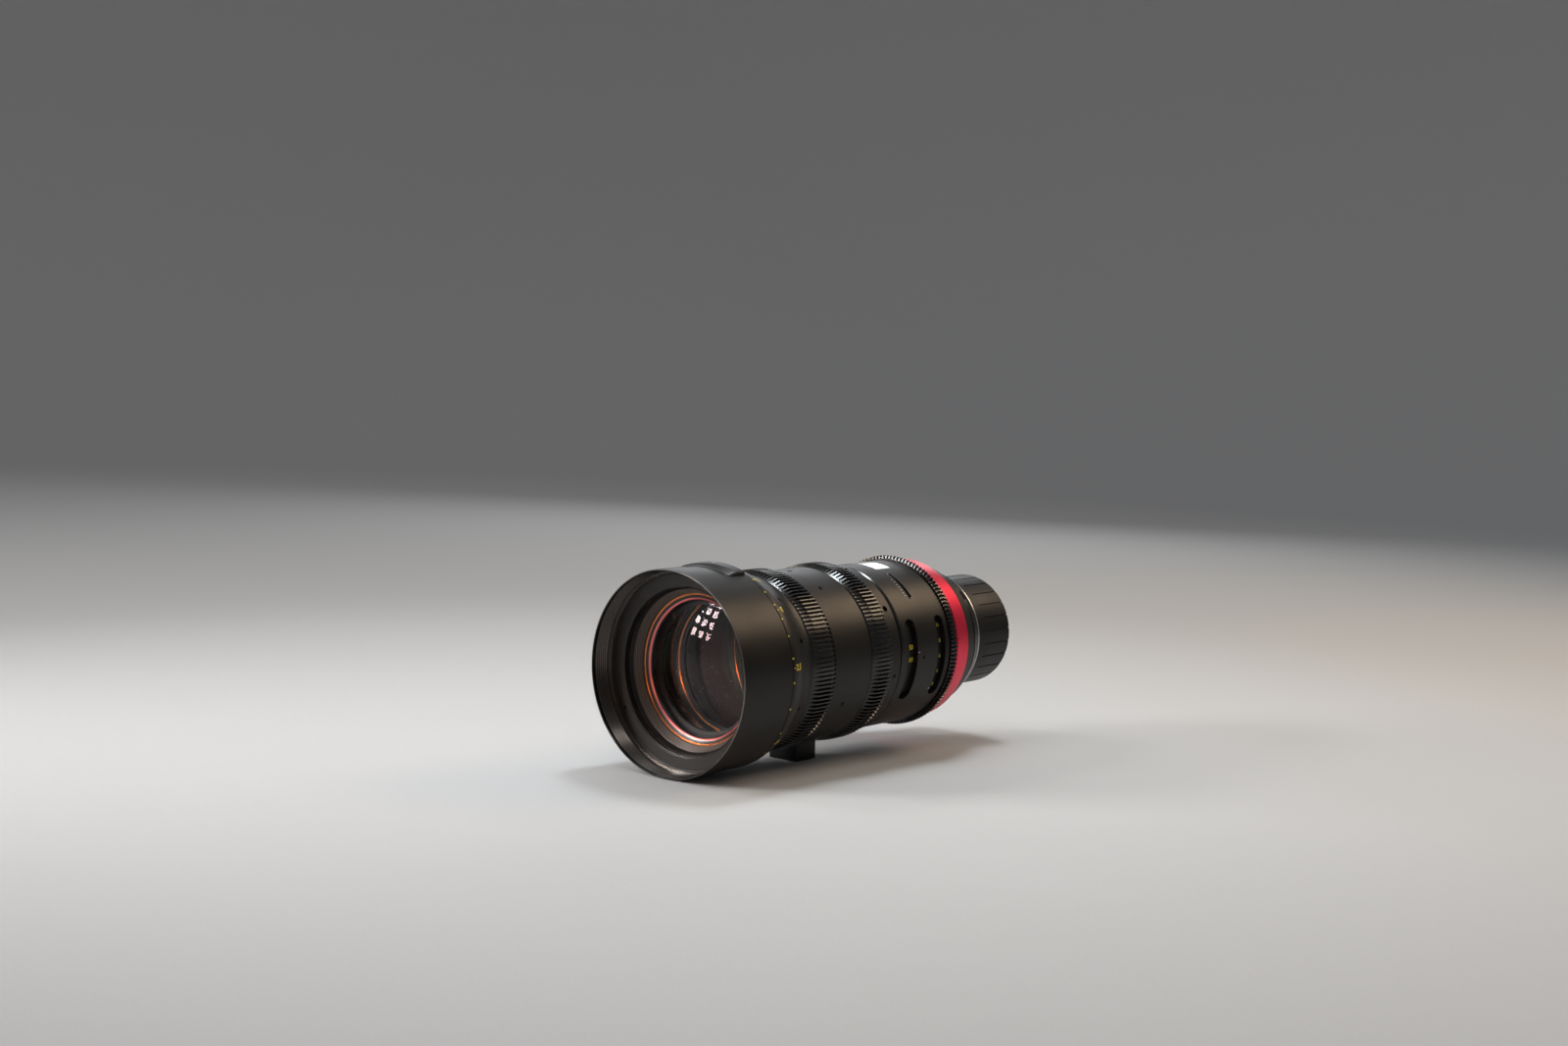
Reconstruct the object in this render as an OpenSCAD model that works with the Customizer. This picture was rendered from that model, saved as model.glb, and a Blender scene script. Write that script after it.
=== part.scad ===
// Cinema zoom lens, modelled as the separate pieces that it comes apart into.
// The optical axis runs along Y, with the front at -Y and the camera side at +Y.
// The origin is the centre of the camera mount's flange plane, and +Z is up.
// Stations are distances behind the front rim, and clock angles run from the top towards +X.

/* [Front ring] */
// Step from the housing out to the front ring, which is 114 mm across
front_step = 0.6; // [0.6:0.1:1.5]
// Length of the front ring
front_ring_l = 17.4; // [17:0.1:20]
// Wall round the filter thread in the mouth
thread_wall = 1; // [0.8:0.1:1.3]
// Depth of the filter thread
thread_l = 11.2; // [9:0.1:11.6]
// Step from the filter thread in to the seat behind it
seat_step = 1.6; // [1.2:0.1:2]
// Depth of the mouth's seat behind the rim
seat_depth = 13.8; // [13.2:0.1:14.4]

/* [Front housing] */
// Wall of the fixed front housing
housing_wall = 10.5; // [10:0.1:11]
// Length of the fixed front housing
front_housing_l = 22.1; // [21.8:0.1:26]
// Height of the index pad above the housing
pad_h = 2; // [1:0.1:3]
// Length of the index pad
pad_l = 13; // [10:0.5:16]
// Clock angle of the index pad's side edge
pad_half_angle = 21; // [12:1:30]

/* [Front glass] */
// Wall of the lens cell round the front element
front_cell_wall = 6.25; // [6:0.05:7]
// Radius of curvature of the front element's front face
front_glass_curve = 92; // [80:1:140]
// Edge thickness of the front element
front_glass_edge = 5.5; // [4:0.1:6]
// Reach of the clamping ring over the front element
glass_ring_reach = 2; // [1.6:0.1:3]
// Width of the retaining ring in the mouth
mouth_ring_w = 8.1; // [7:0.1:8.3]

/* [Focus ring] */
// Length of the focus ring's tapered part
focus_taper_l = 24; // [22:0.5:28]
// Wall of the focus ring where its taper ends
waist_wall = 5.7; // [5.4:0.1:6.6]
// Length of the focus gear
focus_gear_l = 18.2; // [14:0.1:20]
// Height of the focus gear's pitch circle above the ring's bore, which sets its teeth
focus_pitch_h = 6.9; // [6.5:0.4:7.3]
// Axial travel of the focus group over a full degree of ring turn
focus_lead = 0.04; // [0.03:0.005:0.045]

/* [Middle body] */
// Wall of the fixed middle body
middle_wall = 3.5; // [3:0.1:4.8]
// Length of the fixed middle body
middle_body_l = 33; // [32:0.5:36]
// Height of the support foot under the middle body
foot_h = 10.3; // [9.3:0.1:16]
// Width of the support foot
foot_w = 20; // [16:1:26]
// Length of the support foot along the axis
foot_l = 17; // [15:0.5:22]
// Wall radius of the foot's tapped hole
foot_tap_r = 3.97; // [3:0.01:4.2]

/* [Zoom ring] */
// Length of the zoom gear
zoom_gear_l = 16.3; // [14:0.1:18]
// Height of the zoom gear's pitch circle above the cam tube, which sets its teeth
zoom_pitch_h = 4.9; // [4.5:0.4:5.3]
// Length of the smooth band behind the zoom gear
zoom_band_l = 12.5; // [11:0.5:15]
// Wall of the zoom ring's smooth band
band_wall = 3.8; // [3.4:0.1:4.7]
// Axial travel of the variator for each degree of zoom
variator_lead = 0.24; // [0.15:0.01:0.26]
// Axial travel of the compensator for each degree of zoom
compensator_lead = 0.08; // [0.04:0.01:0.1]

/* [Rear body] */
// Wall of the rear body
rear_wall = 2.4; // [2:0.1:2.8]
// Length of the rear body
rear_body_l = 46; // [45.5:0.5:50]
// Width of the zoom scale's window
zoom_window_w = 9; // [6:0.5:10]
// Width of the iris scale's window
iris_window_w = 7.5; // [5:0.5:8.5]
// Clock angle at which both windows start
window_start = 64.4; // [60:0.5:70]
// Clock angle at which both windows end
window_end = 123; // [115:0.5:130]

/* [Iris ring] */
// Length of the iris gear ring
iris_gear_l = 4.6; // [4:0.1:7]
// Height of the iris gear's pitch circle above the scale drum, which sets its teeth
iris_pitch_h = 4.5; // [4.1:0.4:4.9]
// Width of the iris's frame round its full opening
iris_frame_w = 18.45; // [17:0.05:20]

/* [Red ring and tail] */
// Length of the red ring
red_ring_l = 14; // [12:0.1:16]
// Wall of the red ring at its front edge
red_wall = 6.45; // [6:0.05:7.3]
// Drop of the red ring's radius from front to rear
red_drop = 1.8; // [1.2:0.1:2.4]
// Length of the black tail cone
tail_l = 11.6; // [10:0.1:14]
// Wall of the tail cone at its front edge
tail_wall = 2.25; // [1.6:0.05:3.3]
// Drop of the tail cone's radius from front to rear
tail_drop = 2; // [1:0.1:2.1]

/* [Camera mount] */
// Length of the mount ring
mount_ring_l = 11.2; // [10:0.1:14]
// Wall of the mount ring at its front
mount_wall = 15.55; // [15:0.05:16.4]
// Drop of the mount ring's radius from front to rear
mount_drop = 3.6; // [2.5:0.1:4]
// Thickness of the steel mount flange
flange_t = 1.7; // [1.5:0.1:3]
// Radius of the mount's rear barrel, half of 54 mm
barrel_tube_r = 27; // [26:0.1:27.3]
// Length of the rear barrel behind the flange plane
barrel_tube_l = 15.5; // [14:0.5:18]
// Length of the rear lens nose behind the barrel
nose_l = 8; // [6:0.5:9]

/* [Rear cap] */
// Height of the rear cap's outside above the camera barrel
cap_h = 7.2; // [6.5:0.1:8]
// Length of the rear cap
cap_l = 39; // [36:0.5:44]
// Length of the cap's smooth skirt
cap_skirt_l = 12.6; // [10:0.5:16]
// Grip grooves round the cap
cap_grooves = 26; // [20:1:30]

/* [Inner barrel] */
// Outside radius of the main barrel that carries every ring
barrel_r = 43.6; // [43.4:0.1:43.7]
// Wall of the main barrel
barrel_wall = 2.6; // [2.2:0.1:2.8]
// Wall of the zoom cam tube and of the scale drums
cam_wall = 2; // [1.8:0.1:2.1]
// Module of the lens gears, the pitch diameter for each tooth
gear_module = 0.8; // [0.79:0.005:0.81]
// Running gap between turning rings and what carries them
ring_gap = 0.3; // [0.25:0.05:0.4]

/* [Hidden] */
$fn = 180;

// Clearances and small sizes shared by many pieces
seam = 0.1;
fit_gap = 0.05;
over = 1;
edge = 0.5;
fine_edge = 0.25;
pin_gap = 0.3;
glass_lip = 1.2;
gear_gap = 1.2;

// Stations of the outside pieces, each from the lengths before it
housing_s = front_ring_l + seam;
focus_s = housing_s + front_housing_l + ring_gap;
focus_gear_s = focus_s + focus_taper_l;
middle_s = focus_gear_s + focus_gear_l + gear_gap;
zoom_s = middle_s + middle_body_l + ring_gap;
zoom_band_s = zoom_s + zoom_gear_l + seam;
rear_body_s = zoom_band_s + zoom_band_l + ring_gap;
iris_s = rear_body_s + rear_body_l + ring_gap;
red_s = iris_s + iris_gear_l + ring_gap;
tail_s = red_s + red_ring_l + seam;
mount_ring_s = tail_s + tail_l + seam;
flange_front_s = mount_ring_s + mount_ring_l;
flange_s = flange_front_s + flange_t;
cap_s = flange_s + ring_gap;
cap_end_s = cap_s + cap_l;

// Radii of the nested tubes, from the main barrel outwards and inwards
barrel_bore = barrel_r - barrel_wall;
sleeve_r = barrel_r + ring_gap;
cam_r = sleeve_r + cam_wall;
shell_bore = cam_r + ring_gap;
cell_r = barrel_bore - ring_gap;
fixed_cell_r = barrel_bore - fit_gap;
front_cell_r = shell_bore - ring_gap - fit_gap;

// Teeth of the gears, and their radii
tooth_h = 2.25 * gear_module;
gear_rim = 1.9;
focus_teeth = round(2 * (sleeve_r + focus_pitch_h) / gear_module);
zoom_teeth = round(2 * (cam_r + zoom_pitch_h) / gear_module);
iris_teeth = round(2 * (cam_r + iris_pitch_h) / gear_module);
function tip_r(teeth) = gear_module * (teeth + 2) / 2;
function root_r(teeth) = tip_r(teeth) - tooth_h;
focus_seat_r = root_r(focus_teeth) - gear_rim;
zoom_seat_r = root_r(zoom_teeth) - gear_rim;
gear_ramp_l = 5.5;
gear_ramp_drop = 0.4;

// Outside radii, each from the tube inside it
housing_r = front_cell_r + fit_gap + housing_wall;
front_r = housing_r + front_step;
thread_r = front_r - thread_wall;
seat_r = thread_r - seat_step;
waist_r = sleeve_r + waist_wall;
middle_r = shell_bore + middle_wall;
foot_drop = middle_r + foot_h;
band_r = cam_r + band_wall;
rear_r = shell_bore + rear_wall;
red_front_r = barrel_r + fit_gap + red_wall;
red_rear_r = red_front_r - red_drop;
tail_front_r = barrel_r + fit_gap + tail_wall;
tail_rear_r = tail_front_r - tail_drop;
mount_front_r = barrel_tube_r + fit_gap + mount_wall;
mount_rear_r = mount_front_r - mount_drop;
cap_r = barrel_tube_r + cap_h;

// Front lens cell and the glass in it
mouth_ring_clear_r = seat_r - mouth_ring_w;
front_glass_r = front_cell_r - front_cell_wall;
glass_ring_clear_r = front_glass_r - glass_ring_reach;
mouth_ring_face = 1.1;
mouth_ring_nose = 0.7;
mouth_ring_bevel = 1.2;
mouth_ring_nose_r = mouth_ring_clear_r + mouth_ring_bevel;
spanner_hole_r = 0.9;
spanner_hole_depth = 2;
spanner_angles = [60, 240];
spanner_circle_r = (seat_r + mouth_ring_nose_r) / 2;
front_cell_inset = 1.1;
front_cell_s = housing_s + front_cell_inset;
cell_lip_h = 1.2;
cell_lip_l = 2.4;
cell_lip_r = front_cell_r - cell_lip_h;
cell_lip_s = front_cell_s + cell_lip_l;
cone_band_wall = 2.2;
cone_band_l = 4.8;
cone_band_r = front_glass_r + cone_band_wall;
cone_band_s = cell_lip_s + cone_band_l;
glass_seat_l = 4.2;
glass_edge_s = cone_band_s + glass_seat_l;
glass_ring_t = 2.8;
glass_ring_rise = 0.9;
glass_ring_slope_l = 0.7;
glass_ring_nose_l = 0.7;
glass_ring_nose_h = 0.6;
glass_ring_end_s = glass_edge_s - fit_gap;
glass_ring_s = glass_ring_end_s - glass_ring_t;
glass_ring_r = cone_band_r - fit_gap;
front_glass_rim = front_glass_r - glass_ring_clear_r + fit_gap;
front_glass_back_curve = 230;
front_glass_end_s = glass_edge_s + front_glass_edge + fit_gap;
housing_web = 3;
housing_web_s = focus_s - ring_gap - housing_web;
front_cell_step_s = housing_web_s - fit_gap;
front_cell_reach = 4.4;
front_cell_end_s = focus_s + front_cell_reach;
second_glass_inset = 4.2;
second_glass_r = front_glass_r - second_glass_inset;
second_glass_edge = 5.7;
second_glass_s = front_cell_end_s - second_glass_edge - fit_gap;
second_glass_front_curve = 400;
second_glass_back_curve = 260;

// Index pad on the front housing
pad_ramp_l = 6.5;
pad_corner = 3.2;
pad_corner_step = 15;
pad_root = 0.4;

// Focus ring, its cam groove and its follower pins
focus_turn_min = -20;
focus_turn_max = 290;
focus_taper_steps = 9;
focus_lip = 0.6;
function focus_surface_r(distance) = waist_r + (housing_r - waist_r)
    * (1 + cos(180 * (distance - focus_lip) / (focus_taper_l - 2 * focus_lip))) / 2;
focus_hole_r = 1.5;
focus_hole_depth = 2.2;
focus_hole_inset = 15.4;
focus_hole_s = focus_s + focus_hole_inset;
focus_hole_angle = 69;
follower_r = 1.5;
focus_step_play = 0.4;
focus_groove_h = 2 * (follower_r + pin_gap) + focus_step_play;
focus_groove_depth = 2.4;
focus_pin_inset = 19.1;
focus_pin_s = focus_s + focus_pin_inset;
focus_pin_angles = [150, 330];
focus_groove_steps = 31;
focus_cell_l = 16;
focus_cell_wall = 4;
focus_glass_r = cell_r - focus_cell_wall;
focus_glass_edge = 6;
focus_glass_curve = 110;

// Set screws, their heads flush with the rings
set_screw_r = 1.5;
set_screw_l = 2.6;
set_screw_recess = 0.35;
set_screw_key_r = 0.75;
set_screw_key_depth = 1;
focus_screw_sink = 0.6;
focus_screw_insets = [11.9, 14.5, 13.2];
focus_screw_angles = [41, 111, 231];
focus_screw_places = [for (i = [0 : 2]) [focus_s + focus_screw_insets[i], focus_screw_angles[i],
    focus_surface_r(focus_screw_insets[i]) - focus_screw_sink]];
middle_screw_inset = 12.9;
middle_screw_s = middle_s + middle_screw_inset;
middle_screw_angles = [4.8, 32.7, 115.4, 240];
middle_screw_places = [for (angle = middle_screw_angles) [middle_screw_s, angle, middle_r]];
zoom_screw_inset = 4.8;
zoom_screw_s = zoom_band_s + zoom_screw_inset;
zoom_screw_angles = [13.2, 101, 221];
zoom_screw_places = [for (angle = zoom_screw_angles) [zoom_screw_s, angle, band_r]];
zoom_hole_angle = 55.4;
zoom_hole_r = 1.8;
zoom_hole_depth = 2;
rear_screw_inset = 19.7;
rear_screw_s = rear_body_s + rear_screw_inset;
rear_screw_angles = [92.3, 212.3, 332.3];
rear_screw_places = [for (angle = rear_screw_angles) [rear_screw_s, angle, rear_r]];

// Middle body and the support foot under it
middle_chamfer = 1.2;
middle_web = 3;
foot_s = middle_s + middle_body_l - foot_l - edge;
foot_tap_l = 8;
foot_screw_r = 1.6;
foot_screw_head_r = 2.8;
foot_screw_head_h = 3;
foot_screw_key_r = 1.6;
foot_screw_key_depth = 1.5;
foot_screw_inset = 3.6;
foot_screw_bite = 3;
foot_screw_side = foot_w / 2 - foot_screw_inset;
foot_screw_places = [[-foot_screw_side, foot_s + foot_screw_inset],
    [foot_screw_side, foot_s + foot_l - foot_screw_inset]];

// Zoom ring, its cam tube and the groups that it drives
zoom_turn_min = -25;
zoom_turn_max = 75;
zoom_shoulder_l = 2.9;
zoom_shoulder_drop = 2.2;
cam_s = middle_s + middle_web + ring_gap;
cam_end_s = zoom_band_s + zoom_band_l;
cam_slot_steps = 24;
cam_step_play = 2;
cam_slot_h = 2 * (follower_r + pin_gap) + cam_step_play;
variator_pin_inset = 15.2;
variator_pin_s = middle_s + variator_pin_inset;
variator_pin_angles = [150, 330];
variator_cell_l = 11;
variator_cell_wall = 7;
variator_glass_r = cell_r - variator_cell_wall;
variator_glass_edge = 9.4;
variator_front_curve = 220;
variator_back_curve = 120;
compensator_pin_inset = 21;
compensator_pin_s = zoom_s + compensator_pin_inset;
compensator_pin_angles = [60, 240];
compensator_cell_l = 9;
compensator_cell_wall = 8;
compensator_glass_r = cell_r - compensator_cell_wall;
compensator_glass_edge = 4.5;
compensator_front_curve = 270;
compensator_back_curve = 140;

// Rear body with its windows, marks slot and top plate
zoom_window_inset = 5.6;
iris_window_inset = 4.4;
zoom_window_s = rear_body_s + zoom_window_inset;
iris_window_s = rear_body_s + rear_body_l - iris_window_inset - iris_window_w;
drum_margin = 2.4;
zoom_drum_s = cam_end_s + seam;
zoom_drum_end_s = zoom_window_s + zoom_window_w + drum_margin;
iris_drum_s = iris_window_s - drum_margin;
rear_web_s = zoom_drum_end_s + ring_gap;
rear_web_end_s = iris_drum_s - ring_gap;
mark_slot_w = 3;
mark_slot_s = rear_screw_s;
mark_slot_start = 24;
mark_slot_end = 50;
mark_slot_depth = 0.8;
plate_depth = 0.7;
plate_t = 0.6;
plate_inset = 17;
plate_s = rear_body_s + plate_inset;
plate_l = 14;
plate_half_angle = 17;
rear_chamfer = 0.6;

// Fixed relay glass in front of the iris
relay_front_s = rear_web_s;
relay_front_l = 9;
relay_front_wall = 12;
relay_front_glass_r = fixed_cell_r - relay_front_wall;
relay_front_glass_edge = 4;
relay_front_glass_s = relay_front_s + (relay_front_l - relay_front_glass_edge) / 2;
relay_front_curve = 80;
relay_front_back_curve = 160;

// Iris: drive ring, stacked blades and the housing that holds their pivots
iris_open_r = fixed_cell_r - iris_frame_w;
iris_turn_max = 80;
blade_count = 9;
blade_t = 0.2;
blade_pitch = 0.36;
blade_stack_l = blade_count * blade_pitch;
iris_rim_l = 1;
drive_ring_t = 2.6;
drive_ring_inset = 0.4;
drive_ring_s = iris_window_s + drive_ring_inset;
drive_ring_wall = 5;
drive_ring_bore = fixed_cell_r - drive_ring_wall;
drive_pin_r = 1.2;
drive_pin_skin = 1.2;
drive_pin_s = drive_ring_s + drive_ring_t / 2;
drive_pin_angle = 200;
iris_slot_margin = 4;
blade_s = drive_ring_s + drive_ring_t + ring_gap;
iris_plate_s = blade_s + blade_stack_l + ring_gap;
iris_plate_t = 2.4;
pivot_offset = 13.2;
pivot_circle_r = iris_open_r + pivot_offset;
pivot_r = 0.8;
pivot_gap = 0.15;
blade_eye_r = 1.9;
blade_w = 11;
blade_inset = 0.4;
blade_span = 84;
blade_lead_angle = 9;
blade_place_step = 360 / blade_count;

// Relay and rear glass
relay_s = iris_plate_s + iris_plate_t + seam;
relay_end_gap = 4;
relay_end_s = flange_front_s - relay_end_gap;
relay_neck_s = tail_s;
relay_neck_inset = 2;
relay_neck_r = barrel_tube_r - relay_neck_inset;
relay_neck_wall = 3;
relay_bore_r = relay_neck_r - relay_neck_wall;
relay_glass_r = relay_bore_r + glass_lip;
relay_glass_edge = 6;
relay_glass_inset = 4.5;
relay_glass_s = relay_s + relay_glass_inset;
relay_curve = 70;
relay_back_curve = 140;
rear_glass_wall = 5;
rear_glass_edge = 5;
rear_glass_inset = 1;
rear_glass_curve = 60;

// Camera mount
mount_lip_l = 3;
mount_key_w = 6.4;
mount_key_depth = 0.5;
mount_key_angle = 49;
tail_step_l = 2.8;
tail_step_drop = 0.7;
barrel_foot_inset = 2;
barrel_foot_s = mount_ring_s + barrel_foot_inset;
barrel_end_s = flange_s + barrel_tube_l;
nose_step = 4;
nose_r = barrel_tube_r - nose_step;
nose_end_s = barrel_end_s + nose_l;
rear_glass_r = nose_r - rear_glass_wall;
rear_glass_s = nose_end_s - rear_glass_inset - rear_glass_edge;
mount_screw_r = 1.1;
mount_screw_head_r = 2;
mount_screw_head_h = 1;
mount_screw_key_r = 0.55;
mount_screw_key_depth = 0.5;
mount_screw_l = 5;
mount_screw_circle_r = (barrel_tube_r + cap_r) / 2;
mount_screw_count = 4;
mount_screw_angle = 45;

// Rear cap
cap_wall = 2.6;
cap_side_wall = 5.2;
cap_bayonet_l = 6;
cap_groove_w = 0.7;
cap_groove_depth = 0.5;
cap_chamfer = 1.1;
cap_rib_drop = 0.3;

// Puts a piece drawn along +Z, from the front rim back, onto the optical axis
module on_axis() {
    translate([0, -flange_s, 0]) rotate([-90, 0, 0]) children();
}

// Turns a child so that its +X points outwards at a clock angle
module clock(angle) {
    rotate([0, 0, angle - 90]) children();
}

// Plain tube between two stations
module tube(outer, bore, start, end) {
    translate([0, 0, start]) difference() {
        cylinder(r = outer, h = end - start);
        translate([0, 0, -over]) cylinder(r = bore, h = end - start + 2 * over);
    }
}

// Part of a ring between two radii, two stations and two clock angles
module arc_block(inner, outer, start, end, from, to) {
    clock(from) rotate_extrude(angle = to - from)
        translate([inner, start]) square([outer - inner, end - start]);
}

// Round bar that points outwards from the axis
module radial_bar(radius, inner, outer, station, angle) {
    clock(angle) translate([inner, 0, station])
        rotate([0, 90, 0]) cylinder(r = radius, h = outer - inner);
}

// Upright bar below the axis, at a place given as [distance to the side, station]
module down_bar(radius, inner, outer, place, sides = $fn) {
    clock(180) translate([inner, place[0], place[1]])
        rotate([0, 90, 0]) cylinder(r = radius, h = outer - inner, $fn = sides);
}

// Slot round the axis with round ends
module round_slot(inner, outer, start, width, from, to) {
    overlap_share = 1.1;
    end_r = width / 2 - fit_gap;
    end_angle = asin(width / 2 / outer);
    arc_angle = end_angle * overlap_share;
    arc_block(inner, outer, start, start + width, from + arc_angle, to - arc_angle);
    for (angle = [from + end_angle, to - end_angle])
        radial_bar(end_r, inner, outer, start + width / 2, angle);
}

// Straight slot along the axis with round ends
module axial_slot(inner, outer, start, end, width, angle) {
    end_r = width / 2 - fit_gap;
    clock(angle) translate([inner, -width / 2, start]) cube([outer - inner, width, end - start]);
    radial_bar(end_r, inner, outer, start, angle);
    radial_bar(end_r, inner, outer, end, angle);
}

// Cam groove that climbs along the axis as it goes round
module cam_groove(inner, outer, width, from, to, start, end, steps) {
    overlap_share = 0.75;
    step_angle = (to - from) / steps;
    for (i = [0 : steps]) {
        centre = start + (end - start) * i / steps;
        middle_angle = from + i * step_angle;
        arc_block(inner, outer, centre - width / 2, centre + width / 2,
            middle_angle - step_angle * overlap_share, middle_angle + step_angle * overlap_share);
    }
}

// Toothed ring with a ramp at the front of its teeth
module gear_ring(teeth, bore, length, ramp_l, ramp_drop) {
    tip = tip_r(teeth);
    root = root_r(teeth);
    cut_r = tip + over;
    step = 360 / teeth;
    root_share = 0.34;
    tip_share = 0.2;
    ramp_share = (cut_r - root + ramp_drop) / (tip - root + ramp_drop);
    outline = [for (i = [0 : teeth - 1]) for (p = [[root, -root_share], [tip, -tip_share],
        [tip, tip_share], [root, root_share]])
        [p[0] * cos((i + p[1]) * step), p[0] * sin((i + p[1]) * step)]];
    intersection() {
        difference() {
            linear_extrude(length) polygon(outline);
            translate([0, 0, -over]) cylinder(r = bore, h = length + 2 * over);
        }
        rotate_extrude() polygon([[0, 0], [root - ramp_drop, 0], [cut_r, ramp_l * ramp_share],
            [cut_r, length - edge - over], [tip - edge, length], [0, length]]);
    }
}

// Round glass with a flat rim: a positive curve bulges, a negative one is hollow
module glass(radius, rim, start, thick, front_curve, rear_curve) {
    clear = radius - rim;
    $fn = 360;
    end = start + thick;
    front_sag = abs(front_curve) - sqrt(pow(front_curve, 2) - pow(clear, 2));
    rear_sag = abs(rear_curve) - sqrt(pow(rear_curve, 2) - pow(clear, 2));
    difference() {
        union() {
            translate([0, 0, start]) cylinder(r = radius, h = thick);
            if (front_curve > 0) intersection() {
                translate([0, 0, start - front_sag]) cylinder(r = clear, h = front_sag + thick / 2);
                translate([0, 0, start - front_sag + front_curve]) sphere(r = front_curve);
            }
        }
        if (front_curve < 0) translate([0, 0, start + front_sag + front_curve])
            sphere(r = -front_curve);
        if (rear_curve < 0) translate([0, 0, end - rear_sag - rear_curve])
            sphere(r = -rear_curve);
    }
}

// Cell that slides in the main barrel and holds one round glass
module sliding_cell(centre, length, glass_r, glass_edge, pin_angles) {
    difference() {
        tube(cell_r, glass_r - glass_lip, centre - length / 2, centre + length / 2);
        translate([0, 0, centre - glass_edge / 2]) cylinder(r = glass_r + fit_gap, h = length);
        for (angle = pin_angles)
            radial_bar(follower_r, glass_r + glass_lip, cell_r + over, centre, angle);
    }
}

// Glass of a sliding cell, its rim against the cell's lip
module cell_glass(centre, glass_r, glass_edge, front_curve, rear_curve) {
    glass(glass_r, glass_lip + fit_gap, centre - glass_edge / 2 + fit_gap, glass_edge,
        front_curve, rear_curve);
}

// Follower pins, from their holes in a cell out to their cam groove
module follower_pins(centre, glass_r, reach, pin_angles) {
    for (angle = pin_angles)
        radial_bar(follower_r - fit_gap, glass_r + glass_lip + fit_gap, reach, centre, angle);
}

// Set screws sunk flush in a ring, each with a hexagonal socket
module set_screws(places) {
    for (place = places) clock(place[1]) difference() {
        translate([place[2] + fit_gap - set_screw_l, 0, place[0]])
            rotate([0, 90, 0]) cylinder(r = set_screw_r - fit_gap, h = set_screw_l - set_screw_recess);
        translate([place[2] - set_screw_recess - set_screw_key_depth, 0, place[0]])
            rotate([0, 90, 0]) cylinder(r = set_screw_key_r, h = set_screw_l, $fn = 6);
    }
}

// Holes for set screws, open to the outside
module set_screw_holes(places) {
    for (place = places)
        radial_bar(set_screw_r, place[2] - set_screw_l, place[2] + over + edge, place[0], place[1]);
}

// Front ring, with the filter thread's wall inside its rim
module front_ring() {
    color("#1c1a19") on_axis() rotate_extrude() polygon([
        [thread_r, edge], [thread_r + edge, 0], [front_r - edge, 0], [front_r, edge],
        [front_r, front_ring_l - fine_edge], [front_r - fine_edge, front_ring_l],
        [seat_r, front_ring_l], [seat_r, seat_depth], [thread_r, thread_l]]);
}

// Fixed housing behind the front ring, with the web that holds the main barrel
module front_housing() {
    color("#1c1a19") on_axis() rotate_extrude() polygon([
        [front_cell_r + fit_gap, housing_s], [housing_r, housing_s],
        [housing_r, focus_s - ring_gap], [barrel_r + fit_gap, focus_s - ring_gap],
        [barrel_r + fit_gap, housing_web_s], [front_cell_r + fit_gap, housing_web_s]]);
}

// Raised pad on top of the housing, where the focus index is read
module index_pad() {
    pad_end = focus_s - ring_gap;
    pad_start = pad_end - pad_l;
    pad_base_r = housing_r + fit_gap;
    half_w = housing_r * sin(pad_half_angle);
    outline = concat(
        [for (turn = [90:-pad_corner_step:0]) pad_corner_point(-half_w, turn)],
        [for (turn = [0:pad_corner_step:90]) pad_corner_point(half_w, turn)],
        [[-pad_l - over, half_w], [-pad_l - over, -half_w]]);
    color("#1c1a19") on_axis() intersection() {
        rotate_extrude() polygon([
            [pad_base_r, pad_start], [housing_r + pad_root, pad_start],
            [housing_r + pad_h, pad_start + pad_ramp_l], [housing_r + pad_h, pad_end],
            [pad_base_r, pad_end]]);
        clock(0) translate([0, 0, pad_start]) rotate([0, 90, 0])
            linear_extrude(height = housing_r + pad_h + over) polygon(outline);
    }
}

// Point on a front corner of the index pad, seen from above
function pad_corner_point(side, turn) =
    [pad_corner * (cos(turn) - 1), side + sign(side) * pad_corner * (sin(turn) - 1)];

// Wide ring in the mouth that holds the front lens cell, with two spanner holes
module mouth_retaining_ring() {
    color("#2a2421") on_axis() difference() {
        rotate_extrude() polygon([
            [seat_r - fit_gap, seat_depth], [mouth_ring_nose_r, seat_depth + mouth_ring_face],
            [mouth_ring_clear_r, seat_depth + mouth_ring_face + mouth_ring_nose],
            [mouth_ring_clear_r, front_ring_l], [seat_r - fit_gap, front_ring_l]]);
        for (angle = spanner_angles) clock(angle)
            translate([spanner_circle_r, 0, seat_depth - over])
                cylinder(r = spanner_hole_r, h = over + spanner_hole_depth);
    }
}

// Cell of the two fixed front elements, with a conical band in front of the glass
module front_lens_cell() {
    color("#2a2421") on_axis() rotate_extrude() polygon([
        [front_cell_r, front_cell_s], [cell_lip_r, cell_lip_s], [cone_band_r, cone_band_s],
        [cone_band_r, glass_edge_s], [front_glass_r + fit_gap, glass_edge_s],
        [front_glass_r + fit_gap, front_glass_end_s], [second_glass_r - glass_lip, front_glass_end_s],
        [second_glass_r - glass_lip, second_glass_s - fit_gap],
        [second_glass_r + fit_gap, second_glass_s - fit_gap],
        [second_glass_r + fit_gap, front_cell_end_s], [fixed_cell_r, front_cell_end_s],
        [fixed_cell_r, front_cell_step_s], [front_cell_r, front_cell_step_s]]);
}

// Ring that clamps the front element's rim
module front_glass_ring() {
    color("#3a2a24") on_axis() rotate_extrude() polygon([
        [glass_ring_r, glass_ring_s - glass_ring_rise],
        [glass_ring_clear_r + glass_ring_nose_h, glass_ring_s + glass_ring_slope_l],
        [glass_ring_clear_r, glass_ring_s + glass_ring_slope_l + glass_ring_nose_l],
        [glass_ring_clear_r, glass_ring_end_s], [glass_ring_r, glass_ring_end_s]]);
}

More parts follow.
